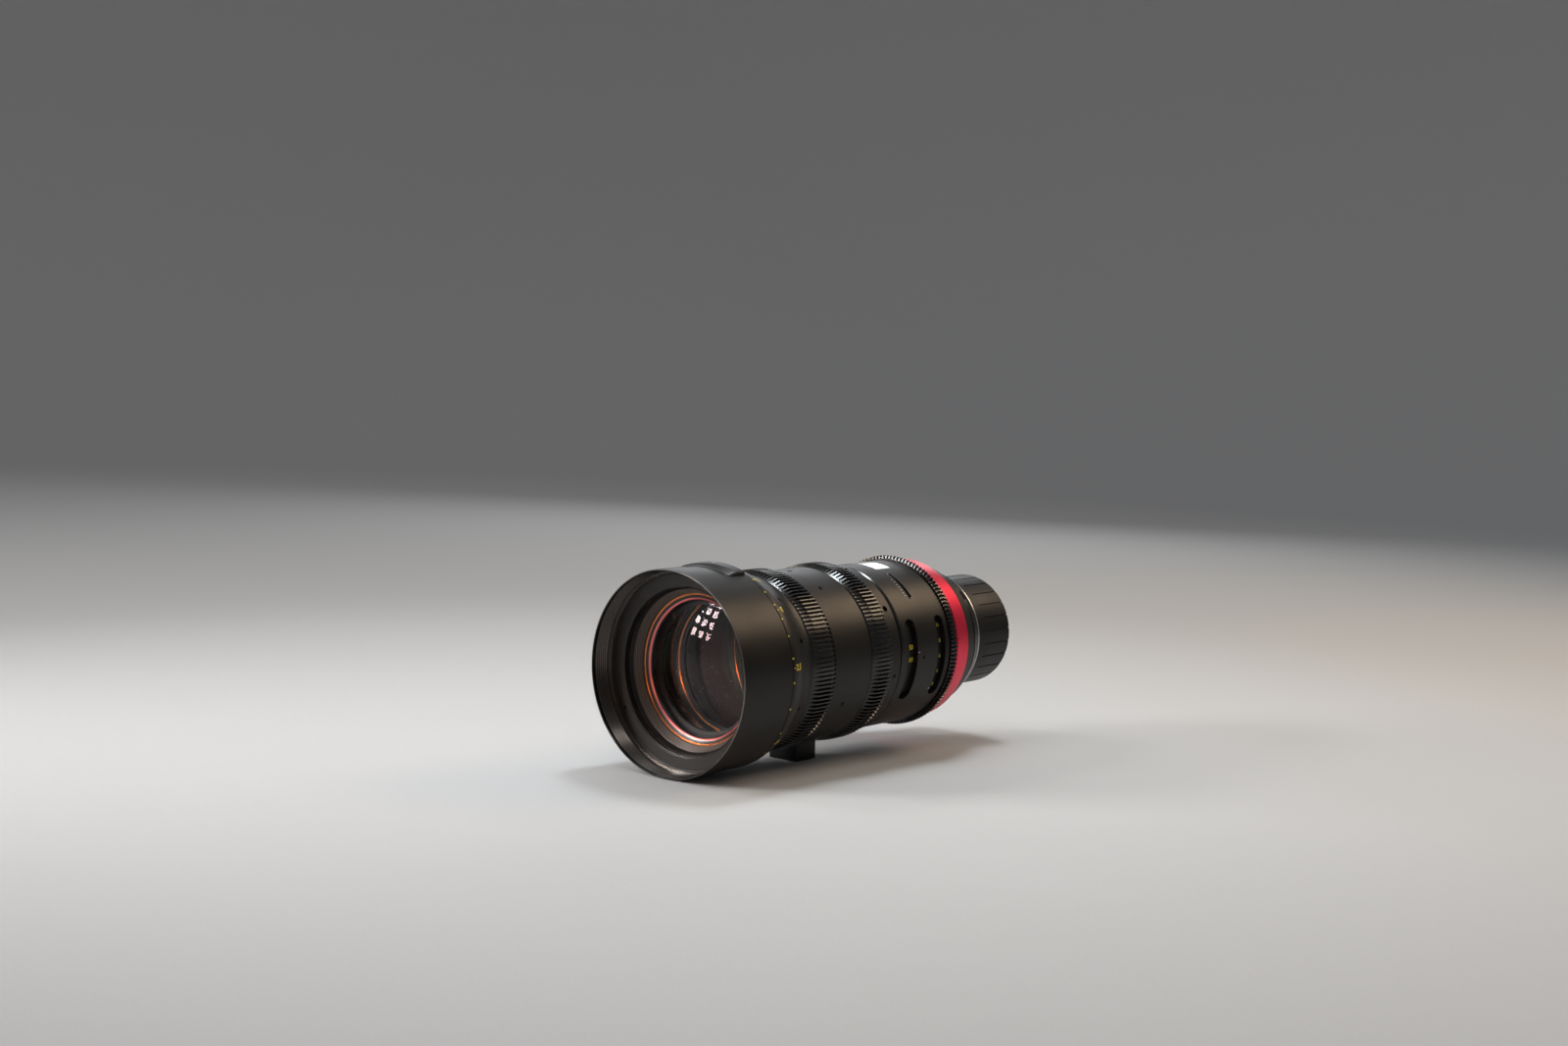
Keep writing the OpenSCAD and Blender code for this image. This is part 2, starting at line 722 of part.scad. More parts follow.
// Front element, bulging forwards
module front_element() {
    color([0.45, 0.5, 0.6, 0.5]) on_axis()
        glass(front_glass_r, front_glass_rim, glass_edge_s, front_glass_edge,
            front_glass_curve, -front_glass_back_curve);
}

// Second fixed element
module second_element() {
    color([0.5, 0.55, 0.6, 0.5]) on_axis()
        glass(second_glass_r, glass_lip + fit_gap, second_glass_s, second_glass_edge,
            -second_glass_front_curve, -second_glass_back_curve);
}

// Fixed barrel that every ring turns on, with straight slots for the follower pins
module main_barrel() {
    focus_travel = [focus_lead * focus_turn_min, focus_lead * focus_turn_max];
    variator_travel = [variator_lead * zoom_turn_min, variator_lead * zoom_turn_max];
    compensator_travel = [-compensator_lead * zoom_turn_max, -compensator_lead * zoom_turn_min];
    slot_w = 2 * (follower_r + pin_gap);
    iris_slot_w = 2 * (drive_pin_r + pin_gap);
    cut_bore = barrel_bore - over;
    cut_r = barrel_r + over;
    color("#4a4a4c") on_axis() difference() {
        tube(barrel_r, barrel_bore, housing_web_s + fit_gap, mount_ring_s - seam);
        for (angle = focus_pin_angles)
            axial_slot(cut_bore, cut_r, focus_pin_s + focus_travel[0] - pin_gap,
                focus_pin_s + focus_travel[1] + pin_gap, slot_w, angle);
        for (angle = variator_pin_angles)
            axial_slot(cut_bore, cut_r, variator_pin_s + variator_travel[0] - pin_gap,
                variator_pin_s + variator_travel[1] + pin_gap, slot_w, angle);
        for (angle = compensator_pin_angles)
            axial_slot(cut_bore, cut_r, compensator_pin_s + compensator_travel[0] - pin_gap,
                compensator_pin_s + compensator_travel[1] + pin_gap, slot_w, angle);
        round_slot(cut_bore, cut_r, drive_pin_s - iris_slot_w / 2, iris_slot_w,
            drive_pin_angle - iris_slot_margin, drive_pin_angle + iris_turn_max + iris_slot_margin);
    }
}

// Focus ring, tapering to the gear's seat, with two cam grooves inside
module focus_ring() {
    gear_end_s = focus_gear_s + focus_gear_l;
    taper_step = (focus_taper_l - 2 * focus_lip) / focus_taper_steps;
    taper = [for (i = [0 : focus_taper_steps])
        [focus_surface_r(focus_lip + i * taper_step), focus_s + focus_lip + i * taper_step]];
    color("#1c1a19") on_axis() difference() {
        rotate_extrude() polygon(concat(
            [[sleeve_r, focus_s], [housing_r, focus_s]], taper,
            [[waist_r, focus_gear_s], [focus_seat_r, focus_gear_s], [focus_seat_r, gear_end_s],
             [sleeve_r, gear_end_s]]));
        for (angle = focus_pin_angles)
            cam_groove(sleeve_r - over, sleeve_r + focus_groove_depth, focus_groove_h,
                angle - focus_turn_min, angle - focus_turn_max,
                focus_pin_s + focus_lead * focus_turn_min, focus_pin_s + focus_lead * focus_turn_max,
                focus_groove_steps);
        radial_bar(focus_hole_r, waist_r - focus_hole_depth, housing_r, focus_hole_s, focus_hole_angle);
        set_screw_holes(focus_screw_places);
    }
}

// Focus gear, pressed on the focus ring
module focus_gear() {
    color("#161616") on_axis() translate([0, 0, focus_gear_s])
        gear_ring(focus_teeth, focus_seat_r + fit_gap, focus_gear_l, gear_ramp_l, gear_ramp_drop);
}

// Set screws of the focus ring
module focus_ring_screws() {
    color("#303030") on_axis() set_screws(focus_screw_places);
}

// Sliding cell of the focus group
module focus_cell() {
    color("#3c3c3e") on_axis()
        sliding_cell(focus_pin_s, focus_cell_l, focus_glass_r, focus_glass_edge, focus_pin_angles);
}

// Glass of the focus group
module focus_element() {
    color([0.5, 0.55, 0.6, 0.5]) on_axis()
        cell_glass(focus_pin_s, focus_glass_r, focus_glass_edge, focus_glass_curve, -focus_glass_curve);
}

// Pins that carry the focus ring's turn to the focus cell
module focus_follower_pins() {
    color("#b08d57") on_axis()
        follower_pins(focus_pin_s, focus_glass_r, sleeve_r + focus_groove_depth - pin_gap, focus_pin_angles);
}

// Fixed middle body, with the web that sits on the main barrel
module middle_body() {
    middle_end_s = middle_s + middle_body_l;
    color("#1c1a19") on_axis() difference() {
        rotate_extrude() polygon([
            [barrel_r + fit_gap, middle_s], [middle_r - middle_chamfer, middle_s],
            [middle_r, middle_s + middle_chamfer], [middle_r, middle_end_s - edge],
            [middle_r - edge, middle_end_s], [shell_bore, middle_end_s],
            [shell_bore, middle_s + middle_web], [barrel_r + fit_gap, middle_s + middle_web]]);
        set_screw_holes(middle_screw_places);
        for (place = foot_screw_places)
            down_bar(foot_screw_r, middle_r - foot_screw_bite, middle_r + over, place);
    }
}

// Set screws of the middle body
module middle_body_screws() {
    color("#303030") on_axis() set_screws(middle_screw_places);
}

// Foot under the middle body for a lens support, flat below
module support_foot() {
    color("#1a1a1a") on_axis() difference() {
        translate([-foot_w / 2, 0, foot_s]) cube([foot_w, foot_drop, foot_l]);
        translate([0, 0, foot_s - over]) cylinder(r = middle_r + fit_gap, h = foot_l + 2 * over);
        down_bar(foot_tap_r, foot_drop - foot_tap_l, foot_drop + over, [0, foot_s + foot_l / 2]);
        for (place = foot_screw_places) {
            down_bar(foot_screw_r, middle_r - foot_screw_bite, foot_drop + over, place);
            down_bar(foot_screw_head_r, foot_drop - foot_screw_head_h, foot_drop + over, place);
        }
    }
}

// Cap screws that hold the foot
module foot_screws() {
    head_top = foot_drop - foot_screw_head_h + fit_gap;
    color("#5a5a5c") on_axis() for (place = foot_screw_places) difference() {
        union() {
            down_bar(foot_screw_r - fit_gap, middle_r - foot_screw_bite + fit_gap, head_top, place);
            down_bar(foot_screw_head_r - fit_gap, head_top, foot_drop - edge, place);
        }
        down_bar(foot_screw_key_r, foot_drop - edge - foot_screw_key_depth, foot_drop, place, 6);
    }
}

// Zoom ring, with the gear's seat and a smooth band
module zoom_ring() {
    band_end_s = zoom_band_s + zoom_band_l;
    color("#1c1a19") on_axis() difference() {
        rotate_extrude() polygon([
            [cam_r + fit_gap, zoom_s], [zoom_seat_r, zoom_s], [zoom_seat_r, zoom_band_s],
            [band_r - edge, zoom_band_s], [band_r, zoom_band_s + edge],
            [band_r, band_end_s - zoom_shoulder_l], [band_r - zoom_shoulder_drop, band_end_s],
            [cam_r + fit_gap, band_end_s]]);
        set_screw_holes(zoom_screw_places);
        radial_bar(zoom_hole_r, band_r - zoom_hole_depth, band_r + over, zoom_screw_s, zoom_hole_angle);
    }
}

// Zoom gear, pressed on the zoom ring
module zoom_gear() {
    color("#161616") on_axis() translate([0, 0, zoom_s])
        gear_ring(zoom_teeth, zoom_seat_r + fit_gap, zoom_gear_l, gear_ramp_l, gear_ramp_drop);
}

// Set screws of the zoom ring
module zoom_ring_screws() {
    color("#303030") on_axis() set_screws(zoom_screw_places);
}

// Cam tube that turns with the zoom ring, with a cam slot for each follower pin
module zoom_cam_tube() {
    color("#6a6a6c") on_axis() difference() {
        tube(cam_r, sleeve_r, cam_s, cam_end_s);
        for (angle = variator_pin_angles)
            cam_groove(sleeve_r - over, cam_r + over, cam_slot_h,
                angle - zoom_turn_min, angle - zoom_turn_max,
                variator_pin_s + variator_lead * zoom_turn_min,
                variator_pin_s + variator_lead * zoom_turn_max,
                cam_slot_steps);
        for (angle = compensator_pin_angles)
            cam_groove(sleeve_r - over, cam_r + over, cam_slot_h,
                angle - zoom_turn_min, angle - zoom_turn_max,
                compensator_pin_s - compensator_lead * zoom_turn_min,
                compensator_pin_s - compensator_lead * zoom_turn_max, cam_slot_steps);
    }
}

// Drum with the zoom scale, seen through the front window
module zoom_scale_drum() {
    color("#141414") on_axis() tube(cam_r, sleeve_r, zoom_drum_s, zoom_drum_end_s);
}

// Sliding cell of the variator
module variator_cell() {
    color("#3c3c3e") on_axis()
        sliding_cell(variator_pin_s, variator_cell_l, variator_glass_r, variator_glass_edge,
            variator_pin_angles);
}

// Glass of the variator
module variator_element() {
    color([0.5, 0.55, 0.6, 0.5]) on_axis()
        cell_glass(variator_pin_s, variator_glass_r, variator_glass_edge,
            -variator_front_curve, -variator_back_curve);
}

// Pins that run in the cam tube's front slots
module variator_follower_pins() {
    color("#b08d57") on_axis()
        follower_pins(variator_pin_s, variator_glass_r, cam_r, variator_pin_angles);
}

// Sliding cell of the compensator
module compensator_cell() {
    color("#3c3c3e") on_axis()
        sliding_cell(compensator_pin_s, compensator_cell_l, compensator_glass_r,
            compensator_glass_edge, compensator_pin_angles);
}

// Glass of the compensator
module compensator_element() {
    color([0.5, 0.55, 0.6, 0.5]) on_axis()
        cell_glass(compensator_pin_s, compensator_glass_r, compensator_glass_edge,
            compensator_front_curve, -compensator_back_curve);
}

// Pins that run in the cam tube's rear slots
module compensator_follower_pins() {
    color("#b08d57") on_axis()
        follower_pins(compensator_pin_s, compensator_glass_r, cam_r, compensator_pin_angles);
}

// Rear body, with a window over each scale drum and a web on the main barrel
module rear_body() {
    rear_end_s = rear_body_s + rear_body_l;
    color("#1c1a19") on_axis() difference() {
        rotate_extrude() polygon([
            [shell_bore, rear_body_s], [rear_r - rear_chamfer, rear_body_s],
            [rear_r, rear_body_s + rear_chamfer], [rear_r, rear_end_s - edge],
            [rear_r - edge, rear_end_s], [shell_bore, rear_end_s], [shell_bore, rear_web_end_s],
            [barrel_r + fit_gap, rear_web_end_s], [barrel_r + fit_gap, rear_web_s],
            [shell_bore, rear_web_s]]);
        round_slot(shell_bore - over, rear_r + over, zoom_window_s, zoom_window_w, window_start, window_end);
        round_slot(shell_bore - over, rear_r + over, iris_window_s, iris_window_w, window_start, window_end);
        round_slot(rear_r - mark_slot_depth, rear_r + over, mark_slot_s, mark_slot_w,
            mark_slot_start, mark_slot_end);
        arc_block(rear_r - plate_depth, rear_r + over, plate_s, plate_s + plate_l,
            -plate_half_angle, plate_half_angle);
        set_screw_holes(rear_screw_places);
    }
}

// Set screws of the rear body
module rear_body_screws() {
    color("#303030") on_axis() set_screws(rear_screw_places);
}

// Blank polished plate let into the top of the rear body
module top_plate() {
    plate_floor = rear_r - plate_depth + fit_gap;
    side_gap = asin(2 * fit_gap / rear_r);
    color("#8a8a8c") on_axis()
        arc_block(plate_floor, plate_floor + plate_t, plate_s + fit_gap, plate_s + plate_l - fit_gap,
            side_gap - plate_half_angle, plate_half_angle - side_gap);
}

// Fixed cell in front of the iris
module relay_front_cell() {
    color("#3c3c3e") on_axis() difference() {
        tube(fixed_cell_r, relay_front_glass_r - glass_lip, relay_front_s, relay_front_s + relay_front_l);
        translate([0, 0, relay_front_glass_s - fit_gap])
            cylinder(r = relay_front_glass_r + fit_gap, h = relay_front_l);
    }
}

// Glass in front of the iris
module relay_front_element() {
    color([0.5, 0.55, 0.6, 0.5]) on_axis()
        glass(relay_front_glass_r, glass_lip + fit_gap, relay_front_glass_s, relay_front_glass_edge,
            relay_front_curve, -relay_front_back_curve);
}

// Iris gear ring, a narrow toothed ring behind a plain rim
module iris_gear_ring() {
    color("#161616") on_axis() {
        tube(root_r(iris_teeth), cam_r + fit_gap, iris_s, iris_s + iris_rim_l);
        translate([0, 0, iris_s + iris_rim_l])
            gear_ring(iris_teeth, cam_r + fit_gap, iris_gear_l - iris_rim_l, edge, 0);
    }
}

// Drum with the iris scale, seen through the rear window
module iris_scale_drum() {
    color("#141414") on_axis() difference() {
        tube(cam_r, sleeve_r, iris_drum_s, iris_s + iris_gear_l);
        radial_bar(drive_pin_r, sleeve_r - over, cam_r + over, drive_pin_s, drive_pin_angle);
    }
}

// Pin that joins the scale drum to the drive ring through the main barrel
module iris_drive_pin() {
    color("#b08d57") on_axis()
        radial_bar(drive_pin_r - fit_gap, drive_ring_bore + drive_pin_skin, cam_r, drive_pin_s,
            drive_pin_angle);
}

// Drive ring of the iris, inside the main barrel
module iris_drive_ring() {
    color("#8a8a8c") on_axis() difference() {
        tube(cell_r, drive_ring_bore, drive_ring_s, drive_ring_s + drive_ring_t);
        radial_bar(drive_pin_r, drive_ring_bore + drive_pin_skin - fit_gap, cell_r + over, drive_pin_s,
            drive_pin_angle);
    }
}

// Fixed housing of the iris, with one pivot pin for each blade
module iris_housing() {
    color("#4a4a4c") on_axis() {
        tube(fixed_cell_r, iris_open_r, iris_plate_s, iris_plate_s + iris_plate_t);
        for (i = [0 : blade_count - 1])
            clock(i * blade_place_step) translate([pivot_circle_r, 0, blade_s])
                cylinder(r = pivot_r, h = iris_plate_s + edge - blade_s);
    }
}

// One iris blade, an arc with an eye that turns on its pivot pin
module iris_blade(index) {
    station = blade_s + index * blade_pitch;
    inner = iris_open_r + blade_inset;
    color("#202022") on_axis() clock(index * blade_place_step) translate([0, 0, station]) difference() {
        union() {
            rotate([0, 0, -blade_lead_angle]) rotate_extrude(angle = blade_span)
                translate([inner, 0]) square([blade_w, blade_t]);
            translate([pivot_circle_r, 0, 0]) cylinder(r = blade_eye_r, h = blade_t);
            translate([inner + blade_w / 2, -blade_eye_r, 0])
                cube([pivot_circle_r - inner - blade_w / 2, 2 * blade_eye_r, blade_t]);
        }
        translate([pivot_circle_r, 0, -over]) cylinder(r = pivot_r + pivot_gap, h = blade_t + 2 * over);
    }
}

// Fixed cell of the relay glass, from the iris back into the mount
module relay_cell() {
    color("#3c3c3e") on_axis() rotate_extrude() polygon([
        [relay_glass_r + fit_gap, relay_s], [fixed_cell_r, relay_s], [fixed_cell_r, relay_neck_s],
        [relay_neck_r, relay_neck_s], [relay_neck_r, relay_end_s], [relay_bore_r, relay_end_s],
        [relay_bore_r, relay_glass_s + relay_glass_edge + fit_gap],
        [relay_glass_r + fit_gap, relay_glass_s + relay_glass_edge + fit_gap]]);
}

// Relay glass behind the iris
module relay_element() {
    color([0.5, 0.55, 0.6, 0.5]) on_axis()
        glass(relay_glass_r, glass_lip + fit_gap, relay_glass_s, relay_glass_edge,
            relay_curve, -relay_back_curve);
}

// Red ring behind the iris gear
module red_ring() {
    color("#d3344e") on_axis() rotate_extrude() polygon([
        [barrel_r + fit_gap, red_s], [red_front_r - edge, red_s], [red_front_r, red_s + edge],
        [red_rear_r, red_s + red_ring_l - edge], [red_rear_r - edge, red_s + red_ring_l],
        [barrel_r + fit_gap, red_s + red_ring_l]]);
}

// Black cone between the red ring and the mount
module tail_cone() {
    tail_end_s = tail_s + tail_l;
    color("#141414") on_axis() rotate_extrude() polygon([
        [barrel_r + fit_gap, tail_s], [tail_front_r, tail_s], [tail_front_r, tail_s + tail_step_l],
        [tail_front_r - tail_step_drop, tail_s + tail_step_l], [tail_rear_r, tail_end_s],
        [barrel_r + fit_gap, tail_end_s]]);
}

// Black ring that carries the camera mount
module mount_ring() {
    color("#0e0e0f") on_axis() difference() {
        rotate_extrude() polygon([
            [barrel_tube_r + fit_gap, mount_ring_s], [mount_front_r - edge, mount_ring_s],
            [mount_front_r, mount_ring_s + edge], [mount_front_r, mount_ring_s + mount_lip_l],
            [mount_rear_r + edge, flange_front_s - edge], [mount_rear_r, flange_front_s],
            [barrel_tube_r + fit_gap, flange_front_s]]);
        clock(mount_key_angle)
            translate([mount_front_r - mount_key_depth, -mount_key_w / 2, mount_ring_s - over])
            cube([over + mount_key_depth, mount_key_w, over + mount_lip_l]);
        for (i = [0 : mount_screw_count - 1])
            clock(mount_screw_angle + i * 360 / mount_screw_count)
                translate([mount_screw_circle_r, 0, flange_s - mount_screw_l])
                    cylinder(r = mount_screw_r, h = mount_screw_l);
    }
}

// Steel flange, whose rear face is the flange plane
module mount_flange() {
    color("#9a9a9c") on_axis() difference() {
        tube(mount_rear_r - edge, barrel_tube_r + fit_gap, flange_front_s, flange_s);
        for (i = [0 : mount_screw_count - 1])
            clock(mount_screw_angle + i * 360 / mount_screw_count)
                translate([mount_screw_circle_r, 0, flange_front_s - over]) {
                    cylinder(r = mount_screw_r, h = flange_t + 2 * over);
                    translate([0, 0, over + flange_t - mount_screw_head_h])
                        cylinder(r = mount_screw_head_r, h = flange_t + over);
                }
    }
}

// Screws that hold the flange, their heads flush
module mount_screws() {
    color("#7a7a7c") on_axis() for (i = [0 : mount_screw_count - 1])
        clock(mount_screw_angle + i * 360 / mount_screw_count) translate([mount_screw_circle_r, 0, 0])
            difference() {
                union() {
                    translate([0, 0, flange_s - mount_screw_l + fit_gap])
                        cylinder(r = mount_screw_r - fit_gap, h = mount_screw_l - 2 * fit_gap);
                    translate([0, 0, flange_s - mount_screw_head_h + fit_gap])
                        cylinder(r = mount_screw_head_r - fit_gap, h = mount_screw_head_h - 2 * fit_gap);
                }
                translate([0, 0, flange_s - mount_screw_key_depth])
                    cylinder(r = mount_screw_key_r, h = mount_screw_head_h, $fn = 6);
            }
}

// Rear barrel that enters the camera, ending in the nose round the rear glass
module rear_barrel() {
    color("#1a1a1b") on_axis() rotate_extrude() polygon([
        [relay_neck_r + fit_gap, barrel_foot_s], [barrel_tube_r, barrel_foot_s],
        [barrel_tube_r, barrel_end_s - edge], [barrel_tube_r - edge, barrel_end_s],
        [nose_r, barrel_end_s], [nose_r, nose_end_s - edge], [nose_r - edge, nose_end_s],
        [rear_glass_r + fit_gap, nose_end_s], [rear_glass_r + fit_gap, rear_glass_s - fit_gap],
        [rear_glass_r - glass_lip, rear_glass_s - fit_gap], [rear_glass_r - glass_lip, relay_end_s + seam],
        [relay_neck_r + fit_gap, relay_end_s + seam]]);
}

// Rear element in the nose
module rear_element() {
    color([0.5, 0.55, 0.6, 0.5]) on_axis()
        glass(rear_glass_r, glass_lip + fit_gap, rear_glass_s, rear_glass_edge,
            rear_glass_curve, -rear_glass_curve);
}

// Rear cap, with a grooved grip behind a smooth skirt
module rear_cap() {
    grip_s = cap_s + cap_skirt_l;
    grip_r = cap_r - cap_rib_drop;
    bore = barrel_tube_r + ring_gap;
    color("#1b1b1b") on_axis() difference() {
        rotate_extrude() polygon([
            [bore, cap_s], [cap_r - edge, cap_s], [cap_r, cap_s + edge], [cap_r, grip_s],
            [grip_r, grip_s + cap_rib_drop], [grip_r, cap_end_s - cap_chamfer],
            [grip_r - cap_chamfer, cap_end_s], [0, cap_end_s], [0, cap_end_s - cap_wall],
            [cap_r - cap_side_wall, cap_end_s - cap_wall], [cap_r - cap_side_wall, cap_s + cap_bayonet_l],
            [bore, cap_s + cap_bayonet_l]]);
        for (i = [0 : cap_grooves - 1])
            clock(i * 360 / cap_grooves)
                translate([grip_r - cap_groove_depth, -cap_groove_w / 2, grip_s + cap_rib_drop])
                    cube([over + cap_groove_depth, cap_groove_w, cap_l]);
    }
}

front_ring();
front_housing();
index_pad();
mouth_retaining_ring();
front_lens_cell();
front_glass_ring();
front_element();
second_element();
main_barrel();
focus_ring();
focus_gear();
focus_ring_screws();
focus_cell();
focus_element();
focus_follower_pins();
middle_body();
middle_body_screws();
support_foot();
foot_screws();
zoom_ring();
zoom_gear();
zoom_ring_screws();
zoom_cam_tube();
zoom_scale_drum();
variator_cell();
variator_element();
variator_follower_pins();
compensator_cell();
compensator_element();
compensator_follower_pins();
rear_body();
rear_body_screws();
top_plate();
relay_front_cell();
relay_front_element();
iris_gear_ring();
iris_scale_drum();
iris_drive_ring();
iris_drive_pin();
iris_housing();
iris_blade(0);  // iris_blade_1
iris_blade(1);  // iris_blade_2
iris_blade(2);  // iris_blade_3
iris_blade(3);  // iris_blade_4
iris_blade(4);  // iris_blade_5
iris_blade(5);  // iris_blade_6
iris_blade(6);  // iris_blade_7
iris_blade(7);  // iris_blade_8
iris_blade(8);  // iris_blade_9
relay_cell();
relay_element();
red_ring();
tail_cone();
mount_ring();
mount_flange();
mount_screws();
rear_barrel();
rear_element();
rear_cap();
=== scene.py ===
"""Looks of a cinema zoom lens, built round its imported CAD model.

The CAD frame has the optical axis along Y, the front at -Y and +Z up. Sizes are in
millimetres in the classes below and become metres when a mesh is made. A station is a
distance behind the front rim, and a clock angle runs from the top towards +X.
"""
import logging
import math
from dataclasses import dataclass
from enum import Enum
from typing import Callable, Sequence

import bmesh
import bpy
from mathutils import Matrix, Vector


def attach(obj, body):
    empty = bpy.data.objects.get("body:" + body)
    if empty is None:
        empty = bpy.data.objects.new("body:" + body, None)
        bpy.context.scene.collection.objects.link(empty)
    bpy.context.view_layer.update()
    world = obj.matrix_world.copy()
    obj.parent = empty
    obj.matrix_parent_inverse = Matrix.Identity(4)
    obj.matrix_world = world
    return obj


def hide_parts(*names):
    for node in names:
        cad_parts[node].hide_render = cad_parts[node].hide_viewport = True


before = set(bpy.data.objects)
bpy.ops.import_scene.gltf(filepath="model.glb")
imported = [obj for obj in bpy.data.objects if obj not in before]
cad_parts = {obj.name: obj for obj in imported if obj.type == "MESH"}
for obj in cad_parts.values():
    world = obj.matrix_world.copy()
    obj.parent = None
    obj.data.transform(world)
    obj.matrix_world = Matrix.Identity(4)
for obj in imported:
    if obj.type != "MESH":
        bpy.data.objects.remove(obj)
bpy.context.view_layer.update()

LOG = logging.getLogger("lens")
MM = 0.001
FLANGE_STATION = 235.7
ROUND_STEPS = 288
BARREL_R = 43.65  # bore of the pieces that sit on the main barrel
SLIDE_R = 40.7  # outside of the cells that slide in the main barrel
DRUM_R = 45.9  # outside of the scale drums
GEAR_SEAT_R = 47.9  # outside of the rings that carry the lens gears
SCREW_R = 1.5
SCREW_HOLE_L = 2.6
GEAR_MODULE = 0.8
MARK_H = 0.08

Profile = list[tuple[float, float]]
Triple = tuple[float, float, float]
Colour = Triple
Places = Sequence[Triple]
Bands = Sequence[tuple[float, float, float, float]]
Mesh = bpy.types.Object
Solid = bmesh.types.BMesh
Material = bpy.types.Material
Tree = bpy.types.NodeTree
Node = bpy.types.Node
Socket = bpy.types.NodeSocket


class Slot(Enum):
    """Material slots of the record."""

    ANODISED = "black_anodised"
    GEAR = "black_gear"
    BRONZE = "mouth_bronze"
    RED = "red_anodised"
    DRUM = "scale_drum_black"
    MOUNT = "mount_black"
    PLATE = "plate_gloss"
    SCREW = "screw_black"
    CELL = "cell_black"
    GLASS = "coated_glass"
    CAP = "cap_plastic"


def place(station: float, radius: float, clock: float) -> Vector:
    """Finds a point on the lens.

    Args:
        station: Distance behind the front rim, in mm.
        radius: Distance from the optical axis, in mm.
        clock: Clock angle in degrees.

    Returns:
        The point in the CAD frame, in metres.
    """
    turn = math.radians(clock)
    return Vector((radius * math.sin(turn), station - FLANGE_STATION, radius * math.cos(turn))) * MM


def shade(obj: Mesh, angle: float = 35.0) -> None:
    """Smooths the faces that meet at less than the angle, in degrees, and keeps the rest sharp."""
    obj.data.shade_smooth()
    obj.data.set_sharp_from_angle(angle=math.radians(angle))


def link(name: str, data: bpy.types.ID) -> Mesh:
    """Makes an object of some data and puts it in the scene.

    Args:
        name: Name of the object.
        data: Its mesh, curve, lamp or camera.

    Returns:
        The object.
    """
    obj = bpy.data.objects.new(name, data)
    bpy.context.scene.collection.objects.link(obj)
    return obj


def new_piece(name: str, mesh: Solid, material: Material | None) -> Mesh:
    """Makes an object of a finished bmesh.

    Args:
        name: Name of the object.
        mesh: Its mesh, which is freed.
        material: Finish of the whole piece, or None.

    Returns:
        The linked object.
    """
    data = bpy.data.meshes.new(name)
    mesh.to_mesh(data)
    mesh.free()
    obj = link(name, data)
    if material is not None:
        data.materials.append(material)
    return obj


def outwards(mesh: Solid) -> Solid:
    """Turns the faces of a closed mesh outwards and returns it."""
    bmesh.ops.recalc_face_normals(mesh, faces=mesh.faces)
    return mesh


def skin(mesh: Solid, here: Sequence, there: Sequence, closed: bool = True) -> None:
    """Joins two rows of vertices with four-sided faces.

    Args:
        mesh: Mesh of the vertices.
        here: First row.
        there: Second row, of the same length.
        closed: Whether each row's last vertex joins its first.
    """
    count = len(here)
    for k in range(count if closed else count - 1):
        after = (k + 1) % count
        mesh.faces.new((here[k], here[after], there[after], there[k]))


def rounded(profile: Profile, radius: float, closed: bool = True, steps: int = 3) -> Profile:
    """Rounds a profile's sharp corners, with a support point on each side to keep flats flat.

    Args:
        profile: Points as (station, radius).
        radius: Corner radius in mm.
        closed: Whether the last point joins the first.
        steps: Points along each corner.

    Returns:
        The profile with rounded corners.
    """
    made: Profile = []
    count = len(profile)
    for i, corner in enumerate(profile):
        here = Vector(corner)
        if not closed and i in (0, count - 1):
            made.append(corner)
            continue
        before, after = Vector(profile[i - 1]) - here, Vector(profile[(i + 1) % count]) - here
        if before.length < 1e-6 or after.length < 1e-6:
            continue
        turn = math.pi - before.angle(after)
        if turn < math.radians(18):
            made.append(corner)
            continue
        reach = min(radius * math.tan(turn / 2), 0.38 * before.length, 0.38 * after.length)
        start, end = here + before.normalized() * reach, here + after.normalized() * reach
        if before.length > 6 * reach:
            made.append(tuple(here + before.normalized() * reach * 1.6))
        for k in range(steps + 1):
            t = k / steps
            made.append(tuple(start * (1 - t) ** 2 + here * 2 * t * (1 - t) + end * t ** 2))
        if after.length > 6 * reach:
            made.append(tuple(here + after.normalized() * reach * 1.6))
    return made


def turned(profile: Profile, start: float = 0.0, sweep: float = 360.0,
           steps: int = ROUND_STEPS) -> Solid:
    """Turns a closed profile round the optical axis.

    Args:
        profile: Closed profile as (station, radius), in either direction.
        start: First clock angle in degrees.
        sweep: Angle that it is turned through; under 360 the ends are closed.
        steps: Faces round the full sweep.

    Returns:
        A closed mesh with its faces outwards.
    """
    mesh = bmesh.new()
    full = sweep > 359.9
    rings = [[mesh.verts.new(place(s, max(r, 0.0), start + sweep * i / steps)) for s, r in profile]
             for i in range(steps if full else steps + 1)]
    for i in range(steps):
        skin(mesh, rings[i], rings[(i + 1) % len(rings)])
    if not full:
        mesh.faces.new(rings[0])
        mesh.faces.new(list(reversed(rings[-1])))
    bmesh.ops.remove_doubles(mesh, verts=mesh.verts, dist=1e-7)
    return outwards(mesh)


def cylinder(radius: float, length: float, matrix: Matrix, sides: int = 28) -> Solid:
    """Makes a round bar along its own Z.

    Args:
        radius: Radius in mm.
        length: Length in mm.
        matrix: Where its middle goes.
        sides: Faces round it.

    Returns:
        The closed mesh.
    """
    mesh = bmesh.new()
    bmesh.ops.create_cone(mesh, cap_ends=True, segments=sides, radius1=radius * MM,
                          radius2=radius * MM, depth=length * MM, matrix=matrix)
    return mesh


